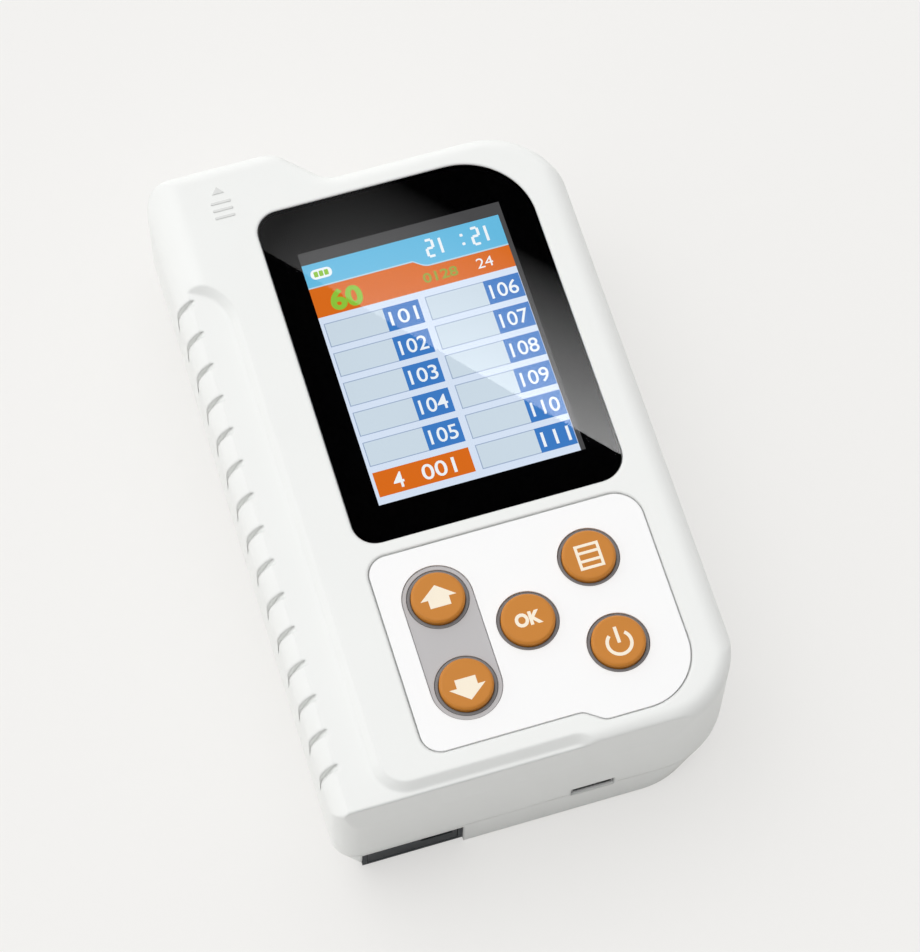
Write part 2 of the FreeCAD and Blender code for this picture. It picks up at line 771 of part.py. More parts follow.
def rear_stock(name, inset, base, narrowing):
    """The lower half as solid stock: it narrows to the plane that the body lies on."""
    loft = doc.addObject("Part::Loft", name)
    loft.Sections = [rim_wire(name + "_low", inset, narrowing, base),
                     rim_wire(name + "_high", inset, "0", "rear_height")]
    loft.Solid = True
    loft.Ruled = True
    return loft


def drive_post_places():
    """Three posts of the rear cover, round the motor, that the drive plate is screwed to."""
    far = f"{MOTOR_X} + drive_post_far"
    high = f"{DRIVE_Y} + drive_post_high"
    return ((far, f"{DRIVE_Y} - drive_post_low"), (far, high),
            (f"{DRIVE_X} + drive_post_near", high))


def charge_post_places():
    """Two posts under the charging board, beside the socket."""
    y = f"{MOUTH_END} + cover_wall + charge_board_length - charge_post_radius"
    reach = f"(({CHARGE_RIGHT} - {CHARGE_LEFT}) / 2 - charge_post_radius - charge_post_inset)"
    return (f"{SOCKET_X} - {reach}", y), (f"{SOCKET_X} + {reach}", y)


def battery_rib():
    """A low wall on the rear cover's floor that keeps the battery in place."""
    gap = "rib_gap"
    reach = "(rib_gap + rib_thickness)"
    walls = box("rib_outside", f"{BATTERY_X} - {reach}", f"{BATTERY_Y} - {reach}",
                "rear_floor / 2", f"{BATTERY_WIDTH} + 2 * {reach}",
                f"{BATTERY_LENGTH} + 2 * {reach}", "rear_floor / 2 + rib_height")
    well = box("rib_inside", f"{BATTERY_X} - {gap}", f"{BATTERY_Y} - {gap}", "rear_floor / 4",
               f"{BATTERY_WIDTH} + 2 * {gap}", f"{BATTERY_LENGTH} + 2 * {gap}",
               f"rear_floor + rib_height + {PAST}")
    return cut("battery_rib", walls, well)


def rear_cover():
    """The moulded lower half: lip, tray mouth and trench, ribs, posts and screw seats."""
    stock = rear_stock("rear_stock", "0", "0", "rear_side_taper")
    share = "(rear_side_taper * (rear_height - rear_floor) / rear_height)"
    hollow = rear_stock("rear_hollow", "cover_wall", "rear_floor", share)
    lip = cut("rear_lip",
              prism("lip_outside", "(cover_wall - lip_wall)", f"rear_height - {PAST}",
                    f"lip_height + {PAST}"),
              prism("lip_inside", "cover_wall", f"rear_height - 2 * {PAST}",
                    f"lip_height + 3 * {PAST}"))

    trench = box("guide_trench", MOUTH_X, f"{MOUTH_END} - {PAST}", "guide_base", "mouth_width",
                 f"{PAST} + guide_sink + {GUIDE_LENGTH} + guide_gap",
                 "mouth_top - guide_base")
    notch = box("mouth_notch_cut", MOUTH_X, f"{MOUTH_END} - {PAST}", f"-{PAST}", "mouth_width",
                f"{PAST} + mouth_notch", f"guide_base + 2 * {PAST}")
    shell = cut("rear_shell", fuse("rear_with_lip", cut("rear_open", stock, hollow), lip),
                trench, notch, socket_opening("rear_socket_cut"))

    seats, posts = [], [battery_rib()]
    for i, (x, y) in enumerate(cover_screw_places()):
        posts.append(rod(f"rear_boss_{i}", x, y, "rear_floor / 2", "cover_boss_radius",
                         "rear_height - rear_floor / 2"))
        seats.append(through_hole(f"rear_bore_{i}", x, y, "0",
                                  "cover_screw_radius + fit_gap", "rear_height"))
        seats.append(rod(f"rear_seat_{i}", x, y, f"-{PAST}", "cover_head_radius + 2 * fit_gap",
                         f"cover_seat_depth + {PAST}"))
    for i, (x, y) in enumerate(drive_post_places()):
        posts.append(rod(f"drive_post_{i}", x, y, "rear_floor / 2", "drive_post_radius",
                         f"{DRIVE_PLATE} - rear_floor / 2"))
        seats.append(rod(f"drive_pilot_{i}", x, y, f"{DRIVE_PLATE} - small_pilot_depth",
                         "small_screw_radius", f"small_pilot_depth + {PAST}"))
    for i, (x, y) in enumerate(charge_post_places()):
        posts.append(rod(f"charge_post_{i}", x, y, "rear_floor / 2", "charge_post_radius",
                         f"{CHARGE_BASE} - rear_floor / 2"))
        seats.append(rod(f"charge_pilot_{i}", x, y, f"{CHARGE_BASE} - small_pilot_depth",
                         "small_screw_radius", f"small_pilot_depth + {PAST}"))
    posts.append(rod("axle_boss", DRIVE_X, DRIVE_Y, "rear_floor / 2",
                     "axle_radius + axle_boss_wall",
                     f"{PINION_BASE} - fit_gap - rear_floor / 2"))
    seats.append(rod("axle_seat", DRIVE_X, DRIVE_Y, "rear_floor / 2",
                     "axle_radius + axle_gap", PINION_BASE))
    return cut("rear_cover", fuse("rear_with_posts", shell, *posts),
               fuse("rear_seats", *seats))


def screen_parts():
    """Lens, foam gasket, display module and the holder that keeps it off the board."""
    lens = lens_form("screen_lens", "0", f"{LENS_TOP} - lens_thickness", "lens_thickness")

    glass = box("lcd_glass", LCD_X, LCD_Y, LCD_BASE, LCD_WIDTH, LCD_HEIGHT, "lcd_thickness")
    tail = box("lcd_tail_notch", f"{LCD_X} + {LCD_WIDTH} / 4", f"{LCD_Y} - {PAST}",
               f"{LCD_BASE} - {PAST}", f"{LCD_WIDTH} / 2", f"lcd_tail_depth + {PAST}",
               f"lcd_thickness / 2 + {PAST}")
    module = cut("lcd_module", glass, tail)

    gasket = cut(
        "lcd_gasket",
        box("gasket_outside", f"{WINDOW_X} - gasket_width", f"{WINDOW_Y} - gasket_width",
            LCD_TOP, f"{WINDOW_WIDTH} + 2 * gasket_width",
            f"{WINDOW_HEIGHT} + 2 * gasket_width", "gasket_thickness"),
        box("gasket_inside", WINDOW_X, WINDOW_Y, f"{LCD_TOP} - {PAST}", WINDOW_WIDTH,
            WINDOW_HEIGHT, f"gasket_thickness + 2 * {PAST}"))

    outside = box("holder_outside", f"{LCD_X} - holder_wall", f"{LCD_Y} - holder_wall",
                  BOARD_TOP, f"{LCD_WIDTH} + 2 * holder_wall",
                  f"{LCD_HEIGHT} + 2 * holder_wall", "holder_height + lcd_thickness")
    seat = box("holder_seat", f"{LCD_X} - fit_gap", f"{LCD_Y} - fit_gap", LCD_BASE,
               f"{LCD_WIDTH} + 2 * fit_gap", f"{LCD_HEIGHT} + 2 * fit_gap",
               f"lcd_thickness + {PAST}")
    well = box("holder_well", f"{LCD_X} + holder_ledge", f"{LCD_Y} + holder_ledge",
               f"{BOARD_TOP} - {PAST}", f"{LCD_WIDTH} - 2 * holder_ledge",
               f"{LCD_HEIGHT} - 2 * holder_ledge", f"holder_height + 2 * {PAST}")
    holder = cut("lcd_holder", outside, seat, well)
    return [lens, module, gasket, holder]


def keypad_parts():
    """Plate, grey inlay, silicone mat with collars, five keys and their switches."""
    base = f"({PLATE_TOP} - plate_thickness)"
    blank = plate_form("plate_blank", "0", base, "plate_thickness")
    holes = {name: through_hole(name + "_plate_hole", x, y, base, KEY_HOLE, "plate_thickness")
             for name, x, y in key_places()}
    arrow_holes = [holes.pop("up"), holes.pop("down")]
    field = stadium("plate_field", "(inlay_radius + fit_gap)", f"{base} - {PAST}",
                    f"plate_thickness + 2 * {PAST}")
    plate = cut("keypad_plate", blank, field, *holes.values())
    inlay = cut("arrow_inlay",
                stadium("inlay_blank", "inlay_radius", base, "plate_thickness - inlay_sink"),
                *arrow_holes)

    mat_sheet = box("mat_sheet", f"{KEY_LEFT} - mat_margin_side",
                    f"{KEY_LOWER} - mat_margin_end", MAT_BASE,
                    f"{KEY_SPACE} + 2 * mat_margin_side",
                    "key_row_space + 2 * mat_margin_end", "mat_thickness")
    collars = [rod(name + "_collar", x, y, MAT_BASE, f"{KEY_HOLE} - fit_gap",
                   f"body_height - collar_sink - {MAT_BASE}") for name, x, y in key_places()]
    bores = [through_hole(name + "_collar_bore", x, y, MAT_BASE, "key_radius + key_clearance",
                          f"body_height - {MAT_BASE}") for name, x, y in key_places()]
    mat = cut("key_mat", fuse("mat_with_collars", mat_sheet, *collars), *bores)

    keys = [key_cap(name, x, y) for name, x, y in key_places()]
    switches = [key_switch(name, x, y) for name, x, y in key_places()]
    return [plate, inlay, mat] + keys + [group("key_switches", *switches)]


def key_cap(name, x, y):
    """One key: a round cap with an eased edge over a flange that keeps it in."""
    cap = rod(name + "_cap", x, y, FLANGE_BASE, "key_radius",
              f"body_height + key_proud - {FLANGE_BASE}")
    doc.recompute()
    top = cap.Shape.BoundBox.ZMax
    rim = [i for i, edge in enumerate(cap.Shape.Edges, start=1)
           if edge.BoundBox.ZMin > top - TOUCH]
    eased = doc.addObject("Part::Chamfer", name + "_eased")
    eased.Base = cap
    eased.Edges = [(i, size["key_edge_ease"], size["key_edge_ease"]) for i in rim]
    flange = rod(name + "_flange", x, y, FLANGE_BASE, "key_radius + key_flange",
                 "key_flange_thickness")
    return fuse(name + "_key", eased, flange)


def key_switch(name, x, y):
    """The push switch on the board under one key: a square case with a round plunger."""
    case = box(name + "_switch_case", f"{x} - switch_side / 2", f"{y} - switch_side / 2",
               BOARD_TOP, "switch_side", "switch_side",
               f"{PLUNGER_TOP} - plunger_height - {BOARD_TOP}")
    plunger = rod(name + "_switch_plunger", x, y, BOARD_TOP, "plunger_radius",
                  f"{PLUNGER_TOP} - {BOARD_TOP}")
    return fuse(name + "_switch", case, plunger)


def small_screw(name, x, y, seat):
    """A small pan-head screw driven down through seat."""
    head = rod(name + "_head", x, y, seat, "small_head_radius", "small_head_height")
    shank = rod(name + "_shank", x, y, f"{seat} - small_screw_depth",
                "small_screw_radius - screw_ease", "small_screw_depth + small_head_height")
    return fuse(name, head, shank)


def hung_screw(name, x, y):
    """A small pan-head screw driven up through the main board."""
    foot = f"({BOARD_BASE} - small_head_height)"
    head = rod(name + "_head", x, y, foot, "small_head_radius", "small_head_height")
    shank = rod(name + "_shank", x, y, foot, "small_screw_radius - screw_ease",
                "small_head_height + small_screw_depth")
    return fuse(name, head, shank)


def board_parts():
    """The main board, hung under the front cover on four posts, and its buzzer."""
    blank = box("board_blank", BOARD_X, BOARD_Y, BOARD_BASE, BOARD_WIDTH, BOARD_LENGTH,
                "board_thickness")
    places = list(enumerate(board_screw_places()))
    holes = [through_hole(f"board_hole_{i}", px, py, BOARD_BASE, "small_screw_radius + fit_gap",
                          "board_thickness") for i, (px, py) in places]
    board = cut("main_board", blank, *holes)
    buzzer = rod("buzzer", f"{BOARD_X} + {BOARD_WIDTH} - buzzer_right",
                 f"{BOARD_Y} + {BOARD_LENGTH} - buzzer_far", f"{BOARD_BASE} - buzzer_height",
                 "buzzer_radius", "buzzer_height")
    screws = [hung_screw(f"board_screw_{i}", px, py) for i, (px, py) in places]
    return [board, buzzer, group("board_screws", *screws)]


def cover_screws():
    """The screws that hold the two covers together, driven from behind."""
    made = []
    foot = "(cover_seat_depth - cover_head_height)"
    for i, (x, y) in enumerate(cover_screw_places()):
        head = rod(f"cover_screw_{i}_head", x, y, foot, "cover_head_radius",
                   "cover_head_height")
        shank = rod(f"cover_screw_{i}_shank", x, y, foot, "cover_screw_radius - screw_ease",
                    "cover_head_height + cover_screw_length")
        made.append(fuse(f"cover_screw_{i}", head, shank))
    return group("cover_screws", *made)


def power_parts():
    """Battery, charging board, the socket on it and the board's two screws."""
    battery = box("battery", BATTERY_X, BATTERY_Y, "rear_floor", BATTERY_WIDTH,
                  BATTERY_LENGTH, "battery_height")
    blank = box("charge_blank", CHARGE_LEFT, f"{MOUTH_END} + cover_wall + 2 * fit_gap",
                CHARGE_BASE, f"{CHARGE_RIGHT} - {CHARGE_LEFT}", "charge_board_length",
                "charge_board_thickness")
    places = list(enumerate(charge_post_places()))
    holes = [through_hole(f"charge_hole_{i}", x, y, CHARGE_BASE,
                          "small_screw_radius + fit_gap", "charge_board_thickness")
             for i, (x, y) in places]
    screws = [small_screw(f"charge_screw_{i}", x, y, "charge_board_top")
              for i, (x, y) in places]
    board = cut("charge_board", blank, *holes)

    case = box("socket_case", f"{SOCKET_X} - socket_width / 2", SOCKET_END,
               "charge_board_top", "socket_width", "socket_depth", "socket_height")
    cavity = box("socket_cavity", f"{SOCKET_X} - socket_width / 2 + socket_wall",
                 f"{SOCKET_END} - {PAST}", "charge_board_top + socket_wall",
                 "socket_width - 2 * socket_wall", f"{PAST} + socket_depth - socket_back",
                 "socket_height - 2 * socket_wall")
    tongue = box("socket_tongue", f"{SOCKET_X} - socket_width / 4",
                 f"{SOCKET_END} + tongue_set", "charge_board_top + socket_height / 2",
                 "socket_width / 2", "socket_depth - socket_back / 2 - tongue_set",
                 "tongue_thickness")
    socket = fuse("usb_socket", cut("socket_shell", case, cavity), tongue)
    return [battery, board, socket, group("charge_screws", *screws)]


def tooth_ring(teeth, module, width):
    """A spur gear's solid on the origin, with a tooth centred on the -X direction."""
    pitch_radius = module * teeth / 2
    step = 2 * math.pi / teeth
    flank = [(pitch_radius + rise * module, half * step) for rise, half in TOOTH_FLANK]
    points = []
    for i in range(teeth):
        middle = math.pi + i * step
        sides = [(r, middle - half) for r, half in flank]
        sides += [(r, middle + half) for r, half in reversed(flank)]
        points += [FreeCAD.Vector(r * math.cos(a), r * math.sin(a), 0) for r, a in sides]
    wire = Part.makePolygon(points + points[:1])
    return Part.Face(wire).extrude(FreeCAD.Vector(0, 0, width))


def gear_blank(name, teeth, turn, width, x, y, z):
    """One gear, turned about its own axis by a share of a tooth and put in place."""
    made = doc.addObject("Part::Feature", name)
    shape = tooth_ring(teeth, size["gear_module"], width)
    shape.rotate(FreeCAD.Vector(0, 0, 0), FreeCAD.Vector(0, 0, 1), 360.0 / teeth * turn)
    made.Shape = shape
    return place(made, x, y, z)


def rack_gaps():
    """What is cut from the tray's side to leave its teeth: a gap faces the pinion's tooth."""
    module = size["gear_module"]
    pitch = math.pi * module
    mouth_end = -size["body_length"] / 2
    start = mouth_end + size["tray_sink"] + size["rack_near"]
    guide_end = size["body_length"] / 2 - size["guide_far"] - size["guide_wall"]
    last = guide_end - size["tray_end_gap"] - size["rack_far"]
    drive_y = mouth_end + size["drive_from_mouth"]
    first_gap = drive_y - pitch * math.floor((drive_y - start) / pitch)
    tools = []
    for i in range(int((last - first_gap) / pitch) + 1):
        middle = first_gap + i * pitch
        near = [FreeCAD.Vector(rise * module, middle - half * pitch, 0)
                for rise, half in RACK_GAP]
        far = [FreeCAD.Vector(rise * module, middle + half * pitch, 0)
               for rise, half in reversed(RACK_GAP)]
        wire = Part.makePolygon(near + far + near[:1])
        tools.append(Part.Face(wire).extrude(
            FreeCAD.Vector(0, 0, size["tray_height"] + 2 * PAST)))
    made = doc.addObject("Part::Feature", "rack_gaps")
    made.Shape = Part.makeCompound(tools)
    return place(made, TRAY_SIDE, 0, f"{TRAY_BASE} - {PAST}")


def guide_part():
    """The channel that the tray slides in, with a window and two posts in its roof."""
    left = f"({MOUTH_MIDDLE} - {GUIDE_HALF})"
    end = f"({MOUTH_END} + guide_sink)"
    floor = "(guide_base + guide_floor)"
    inner_width = f"2 * ({GUIDE_HALF} - guide_wall)"
    outside = box("guide_outside", left, end, "guide_base", f"2 * {GUIDE_HALF}",
                  GUIDE_LENGTH, f"{GUIDE_TOP} - guide_base")
    inside = box("guide_inside", f"{left} + guide_wall", f"{end} - {PAST}", floor, inner_width,
                 f"{GUIDE_LENGTH} - guide_wall + {PAST}",
                 f"{GUIDE_TOP} - guide_floor - {floor}")
    look = box("guide_window", f"{MOUTH_MIDDLE} - head_window_side / 2",
               f"{HEAD_Y} + (head_length - head_window_side) / 2",
               f"{GUIDE_TOP} - guide_floor - {PAST}", "head_window_side", "head_window_side",
               f"guide_floor + 2 * {PAST}")
    gate_base = f"({PINION_BASE} - drive_clearance)"
    gate = box("pinion_gate", f"{MOUTH_MIDDLE} + {GUIDE_HALF} - guide_wall - {PAST}",
               f"{DRIVE_Y} - gear_module * (pinion_teeth / 2 + 2)", gate_base,
               f"guide_wall + 2 * {PAST}", "gear_module * (pinion_teeth + 4)",
               f"{GUIDE_TOP} + {PAST} - {gate_base}")
    posts, pilots = [], []
    for i, (x, y) in enumerate(head_screw_places()):
        posts.append(rod(f"guide_post_{i}", x, y, f"{GUIDE_TOP} - guide_floor / 2",
                         "head_post_radius", "head_post_height + guide_floor / 2"))
        pilots.append(rod(f"guide_pilot_{i}", x, y, GUIDE_TOP, "small_screw_radius",
                          f"head_post_height + {PAST}"))
    return cut("tray_guide", fuse("guide_with_posts", outside, *posts), inside, look, gate,
               *pilots)


def tray_parts():
    """The sliding strip tray, toothed along one side, and its white reference tile."""
    bar = box("tray_bar", f"{MOUTH_MIDDLE} - {TRAY_HALF}", TRAY_END, TRAY_BASE,
              f"2 * {TRAY_HALF}", TRAY_LENGTH, "tray_height")
    strip_bed = box("strip_bed", f"{MOUTH_MIDDLE} - strip_width / 2",
                    f"{TRAY_END} + strip_start", f"{TRAY_TOP} - strip_depth",
                    "strip_width", STRIP_LENGTH, f"strip_depth + {PAST}")
    tile_y = f"({TRAY_END} + strip_start + {STRIP_LENGTH} + tile_space)"
    tile_base = f"({TRAY_TOP} - tile_thickness - tile_sink)"
    tile_seat = box("tile_seat", f"{MOUTH_MIDDLE} - tile_side / 2 - fit_gap", tile_y,
                    tile_base, TILE_SEAT, TILE_SEAT,
                    f"tile_thickness + tile_sink + {PAST}")
    finger = rod("finger_notch", f"{MOUTH_MIDDLE} + finger_side", f"{TRAY_END} - finger_set",
                 f"{TRAY_TOP} - finger_depth", "finger_radius", f"finger_depth + {PAST}")
    tray = cut("strip_tray", bar, rack_gaps(), strip_bed, tile_seat, finger)
    tile = box("reference_tile", f"{MOUTH_MIDDLE} - tile_side / 2", f"{tile_y} + fit_gap",
               tile_base, "tile_side", "tile_side", "tile_thickness")
    return [tray, tile]


def head_screw_places():
    """Two posts on the channel's roof, at the two ends of the optical head."""
    x = f"{MOUTH_MIDDLE} - head_width / 2 + head_post_inset"
    return ((x, f"{HEAD_Y} - head_ear / 2"), (x, f"{HEAD_Y} + head_length + head_ear / 2"))


def head_parts():
    """The optical head, which looks down through the channel's roof at the strip."""
    left = f"({MOUTH_MIDDLE} - head_width / 2)"
    window_x = f"({MOUTH_MIDDLE} - head_window_side / 2)"
    window_y = f"({HEAD_Y} + (head_length - head_window_side) / 2)"
    ear_base = f"({GUIDE_TOP} + head_post_height)"
    block = box("head_block", left, HEAD_Y, HEAD_BASE, "head_width", "head_length",
                "head_height")
    eye = box("head_eye", window_x, window_y, f"{HEAD_BASE} - {PAST}", "head_window_side",
              "head_window_side", f"head_window_thickness + {PAST}")
    bore = rod("head_bore", MOUTH_MIDDLE, f"{HEAD_Y} + head_length / 2", HEAD_BASE,
               "head_bore_radius", "head_height - head_bore_top")
    ears, holes, screws = [], [], []
    for i, (x, y) in enumerate(head_screw_places()):
        ears.append(box(f"head_ear_{i}", f"{x} - head_ear / 2", f"{y} - head_ear / 2", ear_base,
                        "head_ear", "head_ear", "head_ear_thickness"))
        holes.append(through_hole(f"head_hole_{i}", x, y, ear_base,
                                  "small_screw_radius + fit_gap", "head_ear_thickness"))
        screws.append(small_screw(f"head_screw_{i}", x, y, f"{ear_base} + head_ear_thickness"))
    head = cut("optical_head", fuse("head_with_ears", block, *ears), eye, bore, *holes)
    window = box("head_window", f"{window_x} + fit_gap", f"{window_y} + fit_gap", HEAD_BASE,
                 "head_window_side - 2 * fit_gap", "head_window_side - 2 * fit_gap",
                 "head_window_thickness")
    board = box("optical_board", left, HEAD_Y, HEAD_TOP, "head_width", "head_length",
                "optical_board_thickness")
    return [head, window, board, group("head_screws", *screws)]


def motor_screw_places():
    return ((MOTOR_X, f"{DRIVE_Y} - motor_ear_reach"), (MOTOR_X, f"{DRIVE_Y} + motor_ear_reach"))


def gear_parts():
    """The two-step gear, small below and large above, on its axle."""
    height = f"({WHEEL_BASE} + wheel_width - {PINION_BASE})"
    small = gear_blank("pinion_ring", size["pinion_teeth"], 0, size["pinion_width"],
                       DRIVE_X, DRIVE_Y, PINION_BASE)
    large = gear_blank("wheel_ring", size["wheel_teeth"], 0, size["wheel_width"],
                       DRIVE_X, DRIVE_Y, WHEEL_BASE)
    hub = rod("gear_hub", DRIVE_X, DRIVE_Y, PINION_BASE, "axle_radius + hub_wall", height)
    bore = through_hole("gear_bore", DRIVE_X, DRIVE_Y, PINION_BASE, "axle_radius + axle_gap",
                        height)
    gear = cut("compound_gear", fuse("gear_solid", small, large, hub), bore)
    axle = rod("gear_axle", DRIVE_X, DRIVE_Y, "rear_floor / 2", "axle_radius",
               f"{DRIVE_PLATE} + drive_plate_thickness - rear_floor / 2")
    return [gear, axle]


def drive_plate():
    """The steel plate on three posts that carries the motor and the axle's upper end."""
    left = f"({DRIVE_X} - axle_radius - axle_margin)"
    edge = "(drive_post_radius + plate_edge)"
    low = f"({DRIVE_Y} - drive_post_low - {edge})"
    wide = box("plate_wide", left, low, DRIVE_PLATE,
               f"{MOTOR_X} + drive_post_far + {edge} - {left}",
               f"{DRIVE_Y} + drive_post_high + {edge} - {low}", "drive_plate_thickness")
    ear = "(motor_ear_radius + plate_edge)"
    tongue = box("plate_tongue", f"{MOTOR_X} - {ear}", f"{DRIVE_Y} - motor_ear_reach - {ear}",
                 DRIVE_PLATE, f"2 * {ear}", "motor_ear_reach", "drive_plate_thickness")
    openings = [
        through_hole("plate_motor_hole", MOTOR_X, DRIVE_Y, DRIVE_PLATE,
                     "gear_module * (motor_teeth / 2 + 1) + drive_clearance",
                     "drive_plate_thickness"),
        through_hole("plate_axle_hole", DRIVE_X, DRIVE_Y, DRIVE_PLATE,
                     "axle_radius + axle_gap", "drive_plate_thickness")]
    openings += [through_hole(f"plate_hole_{i}", x, y, DRIVE_PLATE,
                              "small_screw_radius + fit_gap", "drive_plate_thickness")
                 for i, (x, y) in enumerate(drive_post_places())]
    openings += [through_hole(f"plate_tapped_{i}", x, y, DRIVE_PLATE, "small_screw_radius",
                              "drive_plate_thickness")
                 for i, (x, y) in enumerate(motor_screw_places())]
    return cut("drive_plate", fuse("plate_blank", wide, tongue), *openings)


def motor_parts():
    """The small motor with its two ears, and the rotor: its shaft with the pinion on it."""
    can = rod("motor_can", MOTOR_X, DRIVE_Y, MOTOR_BASE, "motor_radius", MOTOR_HEIGHT)
    bar = box("motor_ear_bar", f"{MOTOR_X} - motor_ear_radius", f"{DRIVE_Y} - motor_ear_reach",
              MOTOR_BASE, "2 * motor_ear_radius", "2 * motor_ear_reach",
              "motor_ear_thickness")
    places = list(enumerate(motor_screw_places()))
    ends = [rod(f"motor_ear_{i}", x, y, MOTOR_BASE, "motor_ear_radius", "motor_ear_thickness")
            for i, (x, y) in places]
    shaft_way = rod("motor_shaft_way", MOTOR_X, DRIVE_Y, f"{MOTOR_BASE} - {PAST}",
                    "motor_shaft_radius + axle_gap",
                    f"{PAST} + {SHAFT_TOP} - {MOTOR_BASE} + shaft_end_gap")
    holes = [through_hole(f"motor_ear_hole_{i}", x, y, MOTOR_BASE,
                          "small_screw_radius + fit_gap", "motor_ear_thickness")
             for i, (x, y) in places]
    motor = cut("tray_motor", fuse("motor_solid", can, bar, *ends), shaft_way, *holes)

    # A wheel with an even number of teeth shows the motor a tooth, so its ring shows a gap.
    turn = 0.0 if size["wheel_teeth"] % 2 else 0.5
    ring = gear_blank("motor_ring", size["motor_teeth"], turn, size["wheel_width"], MOTOR_X,
                      DRIVE_Y, WHEEL_BASE)
    shaft = rod("motor_shaft", MOTOR_X, DRIVE_Y, WHEEL_BASE, "motor_shaft_radius",
                f"{SHAFT_TOP} - {WHEEL_BASE}")
    return [motor, fuse("motor_pinion", ring, shaft)]


def drive_screws():
    """The three screws of the plate and the two of the motor."""
    plate = [small_screw(f"plate_screw_{i}", x, y, f"({DRIVE_PLATE} + drive_plate_thickness)")
             for i, (x, y) in enumerate(drive_post_places())]
    motor = []
    seat = f"({MOTOR_BASE} + motor_ear_thickness)"
    for i, (x, y) in enumerate(motor_screw_places()):
        head = rod(f"motor_screw_{i}_head", x, y, seat, "small_head_radius",
                   "small_head_height")
        shank = rod(f"motor_screw_{i}_shank", x, y, f"{DRIVE_PLATE} - fit_gap",
                    "small_screw_radius - screw_ease",
                    f"{seat} + small_head_height - {DRIVE_PLATE}")
        motor.append(fuse(f"motor_screw_{i}", head, shank))
    return [group("plate_screws", *plate), group("motor_screws", *motor)]


def write(nodes):
    """Checks the whole document, then writes one file for each piece."""
    doc.recompute()
    for thing in doc.Objects:
        if "Invalid" in thing.State or "Error" in thing.State:
            raise RuntimeError(f"{thing.Name} did not build: {thing.State}")
    os.makedirs("parts", exist_ok=True)
    for node in nodes:
        shape = node.Shape
        if shape.isNull() or not shape.isValid() or not shape.Solids:
            raise RuntimeError(f"{node.Label} has no sound solid")
        shape.exportStep(f"parts/{node.Label}.step")


pieces = [front_cover(), rear_cover(), cover_screws()]
pieces += screen_parts()
pieces += keypad_parts()
pieces += board_parts()
pieces += power_parts()
pieces += [guide_part()]
pieces += tray_parts()
pieces += head_parts()
pieces += gear_parts()
pieces += [drive_plate()]
pieces += motor_parts()
pieces += drive_screws()
write(pieces)
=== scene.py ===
import json
import math

import bmesh
import bpy
from mathutils import Matrix, Vector


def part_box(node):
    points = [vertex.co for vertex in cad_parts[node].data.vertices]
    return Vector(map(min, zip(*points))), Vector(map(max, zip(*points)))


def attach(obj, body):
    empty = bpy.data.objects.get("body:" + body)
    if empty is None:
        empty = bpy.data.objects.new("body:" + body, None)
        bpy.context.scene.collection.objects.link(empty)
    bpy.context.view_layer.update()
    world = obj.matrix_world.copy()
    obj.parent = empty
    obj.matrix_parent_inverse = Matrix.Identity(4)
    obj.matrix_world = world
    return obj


# A handheld urine analyzer lying on a pale table, seen from above its mouth end. New pieces are
# drawn in millimetres in the part's own frame and brought to metres when they are finished.

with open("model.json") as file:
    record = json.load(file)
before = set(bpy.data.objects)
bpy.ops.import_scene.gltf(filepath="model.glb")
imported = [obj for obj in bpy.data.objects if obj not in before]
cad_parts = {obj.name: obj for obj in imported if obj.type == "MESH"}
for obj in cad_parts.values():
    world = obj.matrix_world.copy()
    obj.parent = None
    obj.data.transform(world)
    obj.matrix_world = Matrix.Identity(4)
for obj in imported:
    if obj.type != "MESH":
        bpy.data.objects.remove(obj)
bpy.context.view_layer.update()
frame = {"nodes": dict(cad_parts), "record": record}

MM = 0.001
BLACK = (0.0, 0.0, 0.0, 1.0)
WHITE = (1.0, 1.0, 1.0, 1.0)
ROUND_STEPS = 8           # edges that make a rounded corner
LETTER_STEPS = 4          # edges that make each curve of a letter
SAME_SPOT = 0.0001        # a letter's corners that lie closer than this are one
MARK_RISE = 0.01          # how far a printed mark stands out of the face it is on


def tone(red, green, blue):
    """A colour as a screen shows it, 0 to 255, turned into the shader's own scale."""
    shares = [value / 255 for value in (red, green, blue)]
    return tuple(s / 12.92 if s <= 0.04045 else ((s + 0.055) / 1.055) ** 2.4
                 for s in shares) + (1.0,)


BACKGROUND = tone(242, 241, 239)


# Modelling helpers


def select_only(*pieces):
    bpy.ops.object.select_all(action="DESELECT")
    for piece in pieces:
        piece.select_set(True)
    bpy.context.view_layer.objects.active = pieces[0]


def settle(piece):
    """Puts the piece's place, turn and scale into its mesh."""
    select_only(piece)
    bpy.ops.object.transform_apply(location=True, rotation=True, scale=True)
    return piece


def start_edit(piece):
    """Opens a piece for editing by its vertices, with none selected."""
    select_only(piece)
    bpy.ops.object.mode_set(mode="EDIT")
    bpy.ops.mesh.select_mode(type="VERT")
    bpy.ops.mesh.select_all(action="DESELECT")


def end_edit():
    bpy.ops.object.mode_set(mode="OBJECT")


def pick(piece, kind, wanted):
    """Selects the vertices or faces whose middle is wanted."""
    form = bmesh.from_edit_mesh(piece.data)
    for part in getattr(form, kind):
        corners = [part.co] if kind == "verts" else [v.co for v in part.verts]
        if wanted(sum(corners, Vector()) / len(corners)):
            part.select_set(True)
    bmesh.update_edit_mesh(piece.data)


def thicken(piece, height):
    """Raises a flat outline into a closed plate with its faces outwards."""
    bpy.ops.mesh.select_all(action="SELECT")
    bpy.ops.mesh.extrude_region_move(TRANSFORM_OT_translate={"value": (0, 0, height)})
    bpy.ops.mesh.select_all(action="SELECT")
    bpy.ops.mesh.normals_make_consistent(inside=False)
    end_edit()
    return piece


